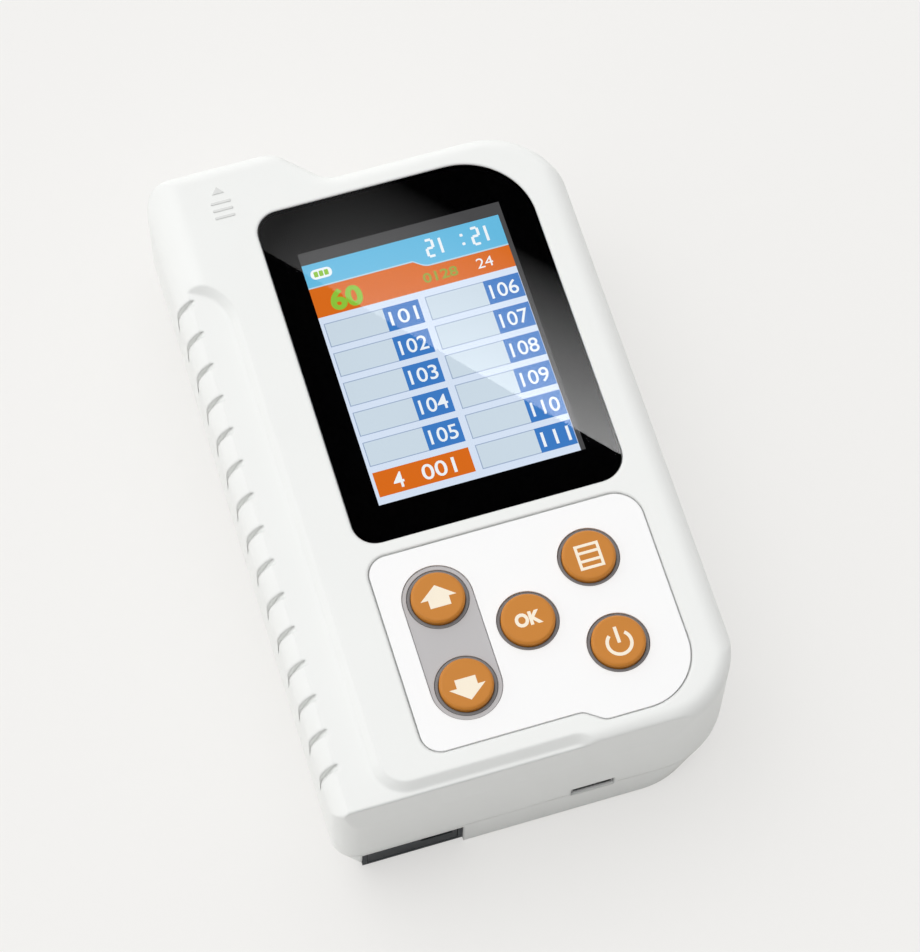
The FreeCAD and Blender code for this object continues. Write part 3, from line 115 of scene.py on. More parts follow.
def start_plate(low, high, base):
    """A flat sheet between two corners, open for editing."""
    bpy.ops.object.select_all(action="DESELECT")
    middle = ((low[0] + high[0]) / 2, (low[1] + high[1]) / 2, base)
    bpy.ops.mesh.primitive_plane_add(size=1, location=middle)
    sheet = bpy.context.active_object
    sheet.scale = (high[0] - low[0], high[1] - low[1], 1)
    settle(sheet)
    start_edit(sheet)
    return sheet


def round_corner(sheet, x, y, radius):
    """Rounds the corner of a flat sheet that lies at a place."""
    reach = radius / 4
    bpy.ops.mesh.select_all(action="DESELECT")
    pick(sheet, "verts", lambda at: math.hypot(at.x - x, at.y - y) < reach)
    bpy.ops.mesh.bevel(offset=radius, segments=ROUND_STEPS, affect="VERTICES")


def plate(low, high, base, height, radii=(0, 0, 0, 0)):
    """A thin plate, with a radius for each corner from the lower left one round to the left."""
    sheet = start_plate(low, high, base)
    corners = ((low[0], low[1]), (high[0], low[1]), (high[0], high[1]), (low[0], high[1]))
    for (x, y), radius in zip(corners, radii):
        if radius:
            round_corner(sheet, x, y, radius)
    return thicken(sheet, height)


def triangle(low, high, base, height):
    """A thin triangle as wide and long as the box between two corners, pointing up."""
    sheet = start_plate(low, high, base)
    middle = (low[1] + high[1]) / 2
    pick(sheet, "verts", lambda at: at.y > middle)
    bpy.ops.mesh.merge(type="CENTER")
    return thicken(sheet, height)


def move_by(piece, x=0.0, y=0.0, z=0.0):
    piece.location = piece.location + Vector((x, y, z))
    return settle(piece)


def copy_of(piece, x=0.0, y=0.0, z=0.0):
    """A copy with a mesh of its own, moved."""
    select_only(piece)
    bpy.ops.object.duplicate(linked=False)
    return move_by(bpy.context.active_object, x, y, z)


def joined(pieces):
    select_only(*pieces)
    if len(pieces) > 1:
        bpy.ops.object.join()
    return bpy.context.active_object


def lettering(text, low, high, base, height, weight):
    """Plain characters as a mesh that fills a box: its low and high corner and its height."""
    bpy.ops.object.select_all(action="DESELECT")
    bpy.ops.object.text_add()
    made = bpy.context.active_object
    made.data.body = text
    made.data.extrude = 0.5       # on both sides, so the letters are 1 thick before scaling
    made.data.offset = weight
    made.data.resolution_u = LETTER_STEPS
    select_only(made)
    bpy.ops.object.convert(target="MESH")
    made = bpy.context.active_object
    start_edit(made)
    bpy.ops.mesh.select_all(action="SELECT")
    bpy.ops.mesh.remove_doubles(threshold=SAME_SPOT)
    bpy.ops.mesh.normals_make_consistent(inside=False)
    end_edit()
    spots = [v.co for v in made.data.vertices]
    left, right = min(p.x for p in spots), max(p.x for p in spots)
    foot, head = min(p.y for p in spots), max(p.y for p in spots)
    wider = (high[0] - low[0]) / (right - left)
    taller = (high[1] - low[1]) / (head - foot)
    made.scale = (wider, taller, height)
    settle(made)
    return move_by(made, low[0] - left * wider, low[1] - foot * taller, base + height / 2)


def finish_piece(piece, name, body, finish):
    """Brings a drawn piece to metres and gives it its name, body and finish."""
    piece.scale = (MM, MM, MM)
    settle(piece)
    piece.name = name
    piece.data.name = name
    piece.data.materials.clear()
    piece.data.materials.append(finish)
    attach(piece, body)


# Shader helpers

NOISE_SPAN = (0.3, 0.7)           # a noise seldom leaves this stretch
SPECK_SPAN = (0.35, 0.65)         # narrower, so that a print's specks stand out
EDGE_SPAN = (0.995, 0.85)         # cosines of the turn where an edge begins and is full
PIXEL_GAP = 0.12                  # the darker line beside each pixel, as a share of the pixel
GAP_GLOW, CLOUD_GLOW = 0.9, 0.96  # how brightly those lines and the dimmest clouds glow
GLOW_SPAN = (0.85, 1.0)           # the stretch of that glow over which a field grows smoother


def add_node(tree, kind, settings=(), **values):
    """A node with its settings; a value is put on the input, and a socket is joined to it.
    An underscore in an input's name stands for a space."""
    made = tree.nodes.new(kind)
    for name, value in dict(settings).items():
        setattr(made, name, value)
    for name, value in values.items():
        feed(tree, made.inputs[name.replace("_", " ")], value)
    return made


def feed(tree, socket, value):
    if isinstance(value, bpy.types.NodeSocket):
        tree.links.new(value, socket)
    else:
        socket.default_value = value


def arithmetic(tree, operation, first, second=0.0, third=0.0):
    made = tree.nodes.new("ShaderNodeMath")
    made.operation = operation
    for socket, value in zip(made.inputs, (first, second, third)):
        feed(tree, socket, value)
    return made.outputs[0]


def spread(tree, value, low, high, start=0.0, end=1.0):
    """A value between start and end carried over to the stretch from low to high."""
    made = add_node(tree, "ShaderNodeMapRange", Value=value, From_Min=start, From_Max=end,
                    To_Min=low, To_Max=high)
    return made.outputs[0]


def blend_colours(tree, mask, first, second):
    made = tree.nodes.new("ShaderNodeMix")
    made.data_type = "RGBA"
    sockets = {s.identifier: s for s in made.inputs}
    feed(tree, sockets["Factor_Float"], mask)
    feed(tree, sockets["A_Color"], first)
    feed(tree, sockets["B_Color"], second)
    return next(s for s in made.outputs if s.identifier == "Result_Color")


def darker(colour, share):
    return tuple(c * (1 - share) for c in colour[:3]) + (1.0,)


def lighter(colour, share):
    return tuple(c + (1 - c) * share for c in colour[:3]) + (1.0,)


def new_group(name, takes, gives):
    """An empty shader node group with number inputs and the outputs that it gives."""
    made = bpy.data.node_groups.new(name, "ShaderNodeTree")
    for title, usual in takes.items():
        socket = made.interface.new_socket(title, in_out="INPUT",
                                           socket_type="NodeSocketFloat")
        socket.default_value = usual
    for title, kind in gives.items():
        made.interface.new_socket(title, in_out="OUTPUT", socket_type=kind)
    return made, made.nodes.new("NodeGroupInput"), made.nodes.new("NodeGroupOutput")


def moulded_grain_group():
    """The fine sparked texture of a mould, and the slow cloudiness of the plastic."""
    tree, takes, gives = new_group(
        "moulded_grain", {"Grain Size": 0.0002, "Cloud Size": 0.02},
        {"Height": "NodeSocketFloat", "Cloud": "NodeSocketFloat"})
    place = tree.nodes.new("ShaderNodeTexCoord").outputs["Object"]
    grain = add_node(tree, "ShaderNodeTexNoise", Vector=place, Detail=3.0, Roughness=0.6,
                     Scale=arithmetic(tree, "DIVIDE", 1.0, takes.outputs["Grain Size"]))
    cloud = add_node(tree, "ShaderNodeTexNoise", Vector=place, Detail=2.0,
                     Scale=arithmetic(tree, "DIVIDE", 1.0, takes.outputs["Cloud Size"]))
    tree.links.new(grain.outputs[0], gives.inputs["Height"])
    tree.links.new(spread(tree, cloud.outputs[0], 0.0, 1.0, *NOISE_SPAN), gives.inputs["Cloud"])
    return tree


def edge_wear_group():
    """Where the surface turns an edge, and the normal of that edge as if it were eased."""
    tree, takes, gives = new_group(
        "edge_wear", {"Radius": 0.0004},
        {"Mask": "NodeSocketFloat", "Normal": "NodeSocketVector"})
    eased = add_node(tree, "ShaderNodeBevel", {"samples": 6}, Radius=takes.outputs["Radius"])
    plain = tree.nodes.new("ShaderNodeNewGeometry").outputs["Normal"]
    turned = add_node(tree, "ShaderNodeVectorMath", {"operation": "DOT_PRODUCT"})
    tree.links.new(eased.outputs[0], turned.inputs[0])
    tree.links.new(plain, turned.inputs[1])
    mask = spread(tree, turned.outputs["Value"], 0.0, 1.0, *EDGE_SPAN)
    tree.links.new(mask, gives.inputs["Mask"])
    tree.links.new(eased.outputs[0], gives.inputs["Normal"])
    return tree


def drawn_metal_group():
    """Fine lines that run one way, as rolling or turning leaves them."""
    tree, takes, gives = new_group(
        "drawn_metal", {"Line Width": 0.00008, "Line Length": 0.004},
        {"Height": "NodeSocketFloat"})
    place = tree.nodes.new("ShaderNodeTexCoord").outputs["Object"]
    parts = add_node(tree, "ShaderNodeSeparateXYZ", Vector=place)
    across = arithmetic(tree, "DIVIDE", parts.outputs["X"], takes.outputs["Line Width"])
    upright = arithmetic(tree, "DIVIDE", parts.outputs["Z"], takes.outputs["Line Width"])
    along = arithmetic(tree, "DIVIDE", parts.outputs["Y"], takes.outputs["Line Length"])
    drawn = add_node(tree, "ShaderNodeCombineXYZ", X=across, Y=along, Z=upright)
    lines = add_node(tree, "ShaderNodeTexNoise", Vector=drawn.outputs[0], Scale=1.0, Detail=2.0)
    tree.links.new(lines.outputs[0], gives.inputs["Height"])
    return tree


def lit_pixels_group():
    """How brightly each spot of a lit display glows: its pixel lines and a soft unevenness."""
    tree, takes, gives = new_group(
        "lit_pixels", {"Pixel": 0.000153, "Cloud Size": 0.03}, {"Glow": "NodeSocketFloat"})
    place = tree.nodes.new("ShaderNodeTexCoord").outputs["Object"]
    parts = add_node(tree, "ShaderNodeSeparateXYZ", Vector=place)
    lines = []
    for axis in ("X", "Y"):
        count = arithmetic(tree, "DIVIDE", parts.outputs[axis], takes.outputs["Pixel"])
        lines.append(arithmetic(tree, "LESS_THAN", arithmetic(tree, "FRACT", count), PIXEL_GAP))
    grid = arithmetic(tree, "MAXIMUM", *lines)
    cloud = add_node(tree, "ShaderNodeTexNoise", Vector=place, Detail=1.0,
                     Scale=arithmetic(tree, "DIVIDE", 1.0, takes.outputs["Cloud Size"]))
    glow = arithmetic(tree, "MULTIPLY", spread(tree, grid, 1.0, GAP_GLOW),
                      spread(tree, cloud.outputs[0], CLOUD_GLOW, 1.0, *NOISE_SPAN))
    tree.links.new(glow, gives.inputs["Glow"])
    return tree


GRAIN = moulded_grain_group()
EDGE_WEAR = edge_wear_group()
DRAWN_METAL = drawn_metal_group()
LIT_PIXELS = lit_pixels_group()


def use_group(tree, group, **values):
    made = tree.nodes.new("ShaderNodeGroup")
    made.node_tree = group
    for name, value in values.items():
        feed(tree, made.inputs[name.replace("_", " ")], value)
    return made.outputs


def new_finish(name):
    """A material, its node tree and its shader."""
    made = bpy.data.materials.new(name)
    made.use_nodes = True
    return made, made.node_tree, made.node_tree.nodes["Principled BSDF"]


def add_bump(tree, shader, height, depth, normal=None):
    """Shades the surface as if it rose by a height, over a normal where one is given."""
    bump = add_node(tree, "ShaderNodeBump", Strength=1.0, Distance=depth, Height=height)
    if normal is not None:
        feed(tree, bump.inputs["Normal"], normal)
    feed(tree, shader.inputs["Normal"], bump.outputs[0])


def moulded(name, colour, roughness, grain=0.00022, depth=0.000004, ease=0.0003, wear=0.15,
            uneven=0.02, swing=0.04, rubbed_lighter=0.4, rubbed_smoother=0.3):
    """Moulded plastic or rubber: fine grain, a cloudy shade, eased and slightly rubbed edges."""
    made, tree, shader = new_finish(name)
    texture = use_group(tree, GRAIN, Grain_Size=grain)
    edge = use_group(tree, EDGE_WEAR, Radius=ease)
    shade = blend_colours(tree, texture["Cloud"], darker(colour, uneven), colour)
    rubbed = arithmetic(tree, "MULTIPLY", edge["Mask"], wear)
    feed(tree, shader.inputs["Base Color"],
         blend_colours(tree, rubbed, shade, lighter(colour, rubbed_lighter)))
    rough = spread(tree, texture["Cloud"], roughness - swing, roughness + swing)
    smoother = arithmetic(tree, "MULTIPLY", rubbed, rubbed_smoother)
    feed(tree, shader.inputs["Roughness"], arithmetic(tree, "SUBTRACT", rough, smoother))
    add_bump(tree, shader, texture["Height"], depth, edge["Normal"])
    return made


def metal(name, colour, roughness, depth=0.000003, ease=0.00015, wear=0.5, cloud_size=0.006,
          tarnish=0.12, swing=0.08, rubbed_lighter=0.5):
    """Plated or rolled metal with its drawn lines and brighter edges."""
    made, tree, shader = new_finish(name)
    lines = use_group(tree, DRAWN_METAL)
    cloud = use_group(tree, GRAIN, Cloud_Size=cloud_size)["Cloud"]
    edge = use_group(tree, EDGE_WEAR, Radius=ease)
    shade = blend_colours(tree, cloud, darker(colour, tarnish), colour)
    rubbed = arithmetic(tree, "MULTIPLY", edge["Mask"], wear)
    feed(tree, shader.inputs["Base Color"],
         blend_colours(tree, rubbed, shade, lighter(colour, rubbed_lighter)))
    shader.inputs["Metallic"].default_value = 1.0
    feed(tree, shader.inputs["Roughness"],
         spread(tree, lines["Height"], roughness - swing, roughness + swing, *NOISE_SPAN))
    add_bump(tree, shader, lines["Height"], depth, edge["Normal"])
    return made


def foil(name, colour, smooth=0.28, rough=0.5, grain=0.0012, depth=0.00004, uneven=0.1,
         crease_scale=260.0, crease_width=0.2):
    """A soft pouch of laminated foil, finely crinkled."""
    made, tree, shader = new_finish(name)
    place = tree.nodes.new("ShaderNodeTexCoord").outputs["Object"]
    creases = add_node(tree, "ShaderNodeTexVoronoi", {"feature": "DISTANCE_TO_EDGE"},
                       Vector=place, Scale=crease_scale)
    texture = use_group(tree, GRAIN, Grain_Size=grain)
    feed(tree, shader.inputs["Base Color"],
         blend_colours(tree, texture["Cloud"], darker(colour, uneven), colour))
    feed(tree, shader.inputs["Roughness"],
         spread(tree, texture["Height"], smooth, rough, *NOISE_SPAN))
    shader.inputs["Metallic"].default_value = 1.0
    folds = spread(tree, creases.outputs["Distance"], 0.0, 1.0, 0.0, crease_width)
    add_bump(tree, shader, arithmetic(tree, "ADD", folds, texture["Height"]), depth)
    return made


def solder_mask(name, colour, smooth=0.25, rough=0.38, grain=0.0003, depth=0.00001,
                uneven=0.15, track_scale=220.0, track_width=0.03, track_lighter=0.06):
    """A circuit board's green coat over raised copper tracks."""
    made, tree, shader = new_finish(name)
    place = tree.nodes.new("ShaderNodeTexCoord").outputs["Object"]
    tracks = add_node(tree, "ShaderNodeTexBrick", Vector=place, Scale=track_scale,
                      Mortar_Size=track_width, Mortar_Smooth=0.2)
    texture = use_group(tree, GRAIN, Grain_Size=grain)
    coat = blend_colours(tree, texture["Cloud"], darker(colour, uneven), colour)
    feed(tree, shader.inputs["Base Color"],
         blend_colours(tree, tracks.outputs["Fac"], lighter(colour, track_lighter), coat))
    feed(tree, shader.inputs["Roughness"], spread(tree, texture["Cloud"], smooth, rough))
    add_bump(tree, shader, tracks.outputs["Fac"], depth)
    return made


def clear_glass(name, tint, roughness, haze_size=0.012, haze=0.01, index=1.5):
    """Clear glass or acrylic, polished, with the faintest haze of handling."""
    made, tree, shader = new_finish(name)
    texture = use_group(tree, GRAIN, Cloud_Size=haze_size)
    feed(tree, shader.inputs["Base Color"],
         blend_colours(tree, texture["Cloud"], darker(tint, haze), tint))
    feed(tree, shader.inputs["Roughness"],
         spread(tree, texture["Cloud"], roughness / 2, roughness))
    shader.inputs["Transmission Weight"].default_value = 1.0
    shader.inputs["IOR"].default_value = index
    return made


def ink(name, colour, roughness, gloss=0.5, grain=0.00012, cloud_size=0.008, depth=0.000002,
        uneven=0.03, speckle=0.2, speckle_darker=0.1, swing=0.05):
    """A printed film: dense, slightly speckled; one that is bonded under glass has no gloss."""
    made, tree, shader = new_finish(name)
    texture = use_group(tree, GRAIN, Grain_Size=grain, Cloud_Size=cloud_size)
    specks = spread(tree, texture["Height"], 0.0, speckle, *SPECK_SPAN)
    shade = blend_colours(tree, texture["Cloud"], darker(colour, uneven), colour)
    feed(tree, shader.inputs["Base Color"],
         blend_colours(tree, specks, shade, darker(colour, speckle_darker)))
    feed(tree, shader.inputs["Roughness"],
         spread(tree, texture["Cloud"], roughness - swing, roughness + swing))
    shader.inputs["Specular IOR Level"].default_value = gloss
    add_bump(tree, shader, texture["Height"], depth)
    return made


def lit(name, colour, strength=1.05, dark_rough=0.5, bright_rough=0.35):
    """A field of a lit display."""
    made, tree, shader = new_finish(name)
    glow = use_group(tree, LIT_PIXELS)["Glow"]
    shader.inputs["Base Color"].default_value = tone(8, 8, 9)
    shader.inputs["Specular IOR Level"].default_value = 0.0
    feed(tree, shader.inputs["Roughness"],
         spread(tree, glow, dark_rough, bright_rough, *GLOW_SPAN))
    feed(tree, shader.inputs["Emission Color"], blend_colours(tree, glow, BLACK, colour))
    shader.inputs["Emission Strength"].default_value = strength
    return made


# The finish of every slot of the record

SHELL = (0.878, 0.888, 0.872, 1.0)

FINISHES = {
    "front_shell": moulded("shell_satin", SHELL, roughness=0.42, ease=0.0009, wear=0.03,
                           uneven=0.012),
    "rear_shell": moulded("rear_satin", darker(SHELL, 0.03), roughness=0.5, ease=0.0006,
                          wear=0.03),
    "lens_black": clear_glass("lens_glass", WHITE, roughness=0.012),
    "display_glass": moulded("display_module", tone(60, 62, 66), roughness=0.2,
                             depth=0.000001),
    "foam_black": moulded("gasket_foam", tone(30, 30, 31), roughness=0.95, grain=0.0004,
                          depth=0.00006),
    "holder_white": moulded("holder_plastic", tone(228, 228, 224), roughness=0.5),
    "plate_white": moulded("keypad_film", (0.96, 0.96, 0.96, 1.0), roughness=0.32,
                           grain=0.00015, depth=0.000001, ease=0.0002, wear=0.0,
                           uneven=0.006),
    "inlay_grey": moulded("inlay_satin", tone(190, 188, 189), roughness=0.5),
    "mat_grey": moulded("silicone_grey", tone(128, 128, 130), roughness=0.62),
    "key_orange": moulded("key_orange", tone(203, 127, 26), roughness=0.45, grain=0.00018,
                          depth=0.000003, ease=0.0006, wear=0.03),
    "board_green": solder_mask("board_green", tone(22, 92, 52)),
    "switch_black": moulded("switch_black", tone(38, 38, 40), roughness=0.45),
    "steel": metal("plated_steel", (0.60, 0.60, 0.61, 1.0), roughness=0.34),
    "battery_foil": foil("battery_foil", (0.68, 0.69, 0.70, 1.0)),
    "socket_steel": metal("socket_steel", (0.50, 0.50, 0.51, 1.0), roughness=0.3),
    "guide_dark": moulded("guide_dark", tone(24, 32, 38), roughness=0.55),
    "tray_grey": moulded("tray_dark", tone(28, 34, 38), roughness=0.55),
    "tile_white": moulded("tile_glaze", tone(246, 246, 244), roughness=0.2, depth=0.000001),
    "head_black": moulded("head_black", tone(30, 30, 31), roughness=0.55),
    "window_clear": clear_glass("window_glass", (0.95, 0.98, 0.98, 1.0), roughness=0.02),
    "gear_white": moulded("gear_acetal", tone(234, 231, 222), roughness=0.4),
}

LENS_PRINT = ink("lens_print_black", tone(6, 6, 7), roughness=0.4, gloss=0.0)
KEY_PRINT = ink("key_print_cream", tone(252, 240, 218), roughness=0.45)
# the sign is the shell's plastic made darker: painted shade along the sign's lines
SIGN_PAINTED_SHADE = moulded("sign_painted_shade", darker(SHELL, 0.16), roughness=0.5, ease=0.0001, wear=0.0)


def dress_nodes():
    """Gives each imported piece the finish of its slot."""
    for subpart in frame["record"]["subparts"]:
        thing = frame["nodes"][subpart["node"]]
        for slot in thing.material_slots:
            slot.material = FINISHES[subpart["material_slot"]]


# What shows behind the screen's glass. Places are measured from the middle of the glass's
# lower edge, as the picture seems to lie in the glass's face when seen from the camera.

LENS_LOW, LENS_HIGH = [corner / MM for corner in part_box("screen_lens")]
SEEN_THROUGH = Vector((0.12, 0.37))       # how far the glass shifts what lies under it
SCREEN_ORIGIN = Vector(((LENS_LOW.x + LENS_HIGH.x) / 2, LENS_LOW.y)) + SEEN_THROUGH
LAYER_SPACE, LAYER_THICK = 0.012, 0.008
LENS_EDGE = 0.15                          # the print stops this far inside the glass
LENS_RADII = (4.2, 5.0, 13.2, 4.2)

# The layers of the print and the picture, from the lowest to the one that covers all others
PRINT, UNLIT, FIELD, FRAMES, FILLS, BLOCKS, FIGURES, TOPMOST = range(8)

PICTURE_LEFT, PICTURE_RIGHT = -18.89, 17.83
PICTURE_FOOT, PICTURE_HEAD = 6.63, 55.17
UNLIT_HEAD, UNLIT_RIGHT = 57.7, 18.7      # of the bare rim of the display above and beside it
TITLE_FOOT = 44.4

STATUS_FOOT, STATUS_STEP = 50.6, 49.1     # of the bar before its step and past it
STATUS_LINE = 0.28                        # the thin line under the bar
STEP_START, STEP_END, STEP_ROUND = 0.4, 2.4, 0.8
CLOCK_FOOT, DIGIT_WIDTH, DIGIT_HEIGHT = 50.3, 1.75, 3.8
STROKE, STROKE_INSET, STROKE_ROUND = 0.5, 0.35, 0.12
HOUR_LEFT, ONE_STEP, MINUTE_STEP = 3.3, 1.4, 8.5
DOT_LEFT, DOT_FOOT, DOT_SIZE, DOT_STEP = 9.95, 51.0, 0.55, 1.8
BATTERY_LOW, BATTERY_HIGH, BATTERY_ROUND = (-17.8, 51.9), (-13.9, 53.9), 0.9
CHARGE_LOW, CHARGE_HIGH = (-17.2, 52.35), (-16.45, 53.45)
CHARGE_STEP = 0.95
SMALL_ROUND = 0.15                        # of the clock's dots and the battery's bars

CELL_WIDTH, CELL_HEIGHT, CELL_LINE = 17.4, 4.8, 0.16
CELL_LEFT, CELL_RIGHT = -18.3, 0.35       # the left edges of the two columns
CELL_TOP, CELL_SPACE = 43.05, 6.04
ROWS = 6
FIRST_NUMBER = 101
LABEL_WIDTH, LABEL_MARGIN = 6.6, 0.75
LABEL_DROP, LABEL_HEIGHT, LABEL_WEIGHT = 1.0, 2.85, 0.008

# Text, the piece's name and colour, the text's corners and how much bolder it is than plain
TITLE_TEXTS = (
    ("60", "sample_count", "green", (-15.9, 44.9), (-10.0, 49.2), 0.04),
    ("0128", "title_number", "count", (1.2, 45.6), (7.6, 47.6), 0.02),
    ("24", "title_tally", "white", (11.2, 45.7), (14.2, 47.7), 0.0),
)
COUNT_TEXTS = (("001", -10.0, -3.9), ("4", -15.2, -13.3))       # text, its left and right
COUNT_DROP, COUNT_HEIGHT, COUNT_WEIGHT = 1.0, 3.0, 0.01

DISPLAY_COLOURS = {
    # the bare rim of the display glows this flat grey: painted light, standing in for the room
    # light that falls on it through the glass
    "rim_painted_glow": tone(74, 74, 75),
    "field": tone(216, 229, 247),
    "status": tone(104, 188, 226),
    "step_line": tone(176, 214, 232),
    "bar": tone(219, 108, 28),
    "cell_line": tone(150, 170, 200),
    "cell": tone(205, 220, 232),
    "label": tone(62, 124, 198),
    "white": tone(240, 246, 250),
    "green": tone(142, 196, 62),
    "count": tone(150, 165, 60),
}


def layer(number):
    """The base of one of the thin layers at the back of the glass."""
    return LENS_LOW.z + LAYER_SPACE * (number + 0.5)


def on_screen(low, high, number, radius=0.0):
    """A field of the picture between two corners, in one of the layers."""
    return plate(Vector(low) + SCREEN_ORIGIN, Vector(high) + SCREEN_ORIGIN, layer(number),
                 LAYER_THICK, (radius,) * 4)


def screen_text(text, low, high, number, weight):
    return lettering(text, Vector(low) + SCREEN_ORIGIN, Vector(high) + SCREEN_ORIGIN,
                     layer(number), LAYER_THICK, weight)


def status_shape():
    """The status bar: straight on the left, and deeper past a slanting step."""
    straight = on_screen((PICTURE_LEFT, STATUS_FOOT), (PICTURE_RIGHT, PICTURE_HEAD), BLOCKS)
    low = Vector((STEP_START, STATUS_STEP)) + SCREEN_ORIGIN
    high = Vector((PICTURE_RIGHT, STATUS_FOOT)) + SCREEN_ORIGIN
    slant = STEP_END - STEP_START
    deep = start_plate(low, high, layer(BLOCKS))
    pick(deep, "verts", lambda at: at.x < low.x + STROKE and at.y < low.y + STROKE)
    bpy.ops.transform.translate(value=(slant, 0, 0))
    round_corner(deep, low.x + slant, low.y, STEP_ROUND)
    return joined([straight, thicken(deep, LAYER_THICK)])


def clock_digit(left, lit_strokes):
    """One seven-stroke figure. Strokes are named by their place."""
    half = DIGIT_HEIGHT / 2
    bar = on_screen((left + STROKE_INSET, CLOCK_FOOT),
                    (left + DIGIT_WIDTH - STROKE_INSET, CLOCK_FOOT + STROKE), FIGURES,
                    STROKE_ROUND)
    post = on_screen((left, CLOCK_FOOT + STROKE_INSET), (left + STROKE, CLOCK_FOOT + half),
                     FIGURES, STROKE_ROUND)
    across = DIGIT_WIDTH - STROKE
    places = {
        "foot": (bar, 0, 0), "middle": (bar, 0, half - STROKE / 2),
        "head": (bar, 0, DIGIT_HEIGHT - STROKE),
        "low_left": (post, 0, 0), "low_right": (post, across, 0),
        "high_left": (post, 0, half - STROKE_INSET),
        "high_right": (post, across, half - STROKE_INSET)}
    strokes = [copy_of(*places[stroke]) for stroke in lit_strokes]
    bpy.data.objects.remove(bar)
    bpy.data.objects.remove(post)
    return joined(strokes)


def clock():
    """The same two figures on both sides of two dots."""
    two = clock_digit(HOUR_LEFT, ("head", "high_right", "middle", "low_left", "foot"))
    one = clock_digit(HOUR_LEFT + ONE_STEP, ("high_right", "low_right"))
    hour = joined([two, one])
    minute = copy_of(hour, MINUTE_STEP)
    dot = on_screen((DOT_LEFT, DOT_FOOT), (DOT_LEFT + DOT_SIZE, DOT_FOOT + DOT_SIZE), FIGURES,
                    SMALL_ROUND)
    return joined([hour, minute, dot, copy_of(dot, y=DOT_STEP)])


def battery_bars():
    """Three bars standing side by side inside the battery's outline."""
    bar = on_screen(CHARGE_LOW, CHARGE_HIGH, TOPMOST, SMALL_ROUND)
    return joined([bar, copy_of(bar, CHARGE_STEP), copy_of(bar, 2 * CHARGE_STEP)])


def cells():
    """Two columns of value cells with their numbered labels; the last left one is the count."""
    foot, right = CELL_TOP - CELL_HEIGHT, CELL_LEFT + CELL_WIDTH
    label = right - LABEL_WIDTH
    rim = on_screen((CELL_LEFT, foot), (right, CELL_TOP), FRAMES)
    well = on_screen((CELL_LEFT + CELL_LINE, foot + CELL_LINE), (label, CELL_TOP - CELL_LINE),
                     FILLS)
    block = on_screen((label, foot), (right, CELL_TOP), BLOCKS)
    rims, wells, blocks, numbers = [], [], [], []
    places = [(0.0, row) for row in range(ROWS - 1)]
    places += [(CELL_RIGHT - CELL_LEFT, row) for row in range(ROWS)]
    for count, (shift, row) in enumerate(places, start=FIRST_NUMBER):
        drop = CELL_SPACE * row
        rims.append(copy_of(rim, shift, -drop))
        wells.append(copy_of(well, shift, -drop))
        blocks.append(copy_of(block, shift, -drop))
        head = CELL_TOP - drop - LABEL_DROP
        numbers.append(screen_text(
            str(count), (label + shift + LABEL_MARGIN, head - LABEL_HEIGHT),
            (right + shift - LABEL_MARGIN, head), FIGURES, LABEL_WEIGHT))
    for pattern in (rim, well, block):
        bpy.data.objects.remove(pattern)
    last = CELL_TOP - CELL_SPACE * (ROWS - 1)
    count_box = on_screen((CELL_LEFT, last - CELL_HEIGHT), (right, last), FRAMES)
    head = last - COUNT_DROP
    for text, start, end in COUNT_TEXTS:
        numbers.append(screen_text(text, (start, head - COUNT_HEIGHT), (end, head), FIGURES,
                                   COUNT_WEIGHT))
    return joined(rims), joined(wells), joined(blocks), joined(numbers), count_box


def build_display():
    """The black print round the window and the lit picture, as thin layers in the glass."""
    print_low = (LENS_LOW.x + LENS_EDGE, LENS_LOW.y + LENS_EDGE)
    print_high = (LENS_HIGH.x - LENS_EDGE, LENS_HIGH.y - LENS_EDGE)
    border = plate(print_low, print_high, layer(PRINT), LAYER_THICK,
                   [radius - LENS_EDGE for radius in LENS_RADII])
    finish_piece(border, "lens_print", "housing", LENS_PRINT)

    rims, wells, blocks, numbers, count_box = cells()
    status = status_shape()
    corner = (PICTURE_LEFT, PICTURE_FOOT)
    made = [
        # the bare rim is drawn glowing: painted light in place of the room light that falls on
        # it
        ("display_rim_painted_glow", "rim_painted_glow", on_screen(corner, (UNLIT_RIGHT, UNLIT_HEAD), UNLIT)),
        ("display_field", "field", on_screen(corner, (PICTURE_RIGHT, PICTURE_HEAD), FIELD)),
        ("title_bar", "bar",
         on_screen((PICTURE_LEFT, TITLE_FOOT), (PICTURE_RIGHT, PICTURE_HEAD), FRAMES)),
        ("status_line", "step_line", copy_of(status, y=-STATUS_LINE, z=-LAYER_SPACE)),
        ("status_bar", "status", status),
        ("clock_figures", "white", clock()),
        ("battery_outline", "white",
         on_screen(BATTERY_LOW, BATTERY_HIGH, FIGURES, BATTERY_ROUND)),
        ("battery_bars", "green", battery_bars()),
        ("value_cells", "cell_line", rims),
        ("value_fields", "cell", wells),
        ("row_labels", "label", blocks),
        ("row_numbers", "white", numbers),
        ("count_box", "bar", count_box),
    ]
    for text, name, colour, low, high, weight in TITLE_TEXTS:
        made.append((name, colour, screen_text(text, low, high, FILLS, weight)))
    finishes = {name: lit("lit_" + name, colour) for name, colour in DISPLAY_COLOURS.items()}
    for name, colour, piece in made:
        finish_piece(piece, name, "housing", finishes[colour])


# Marks printed on the keys

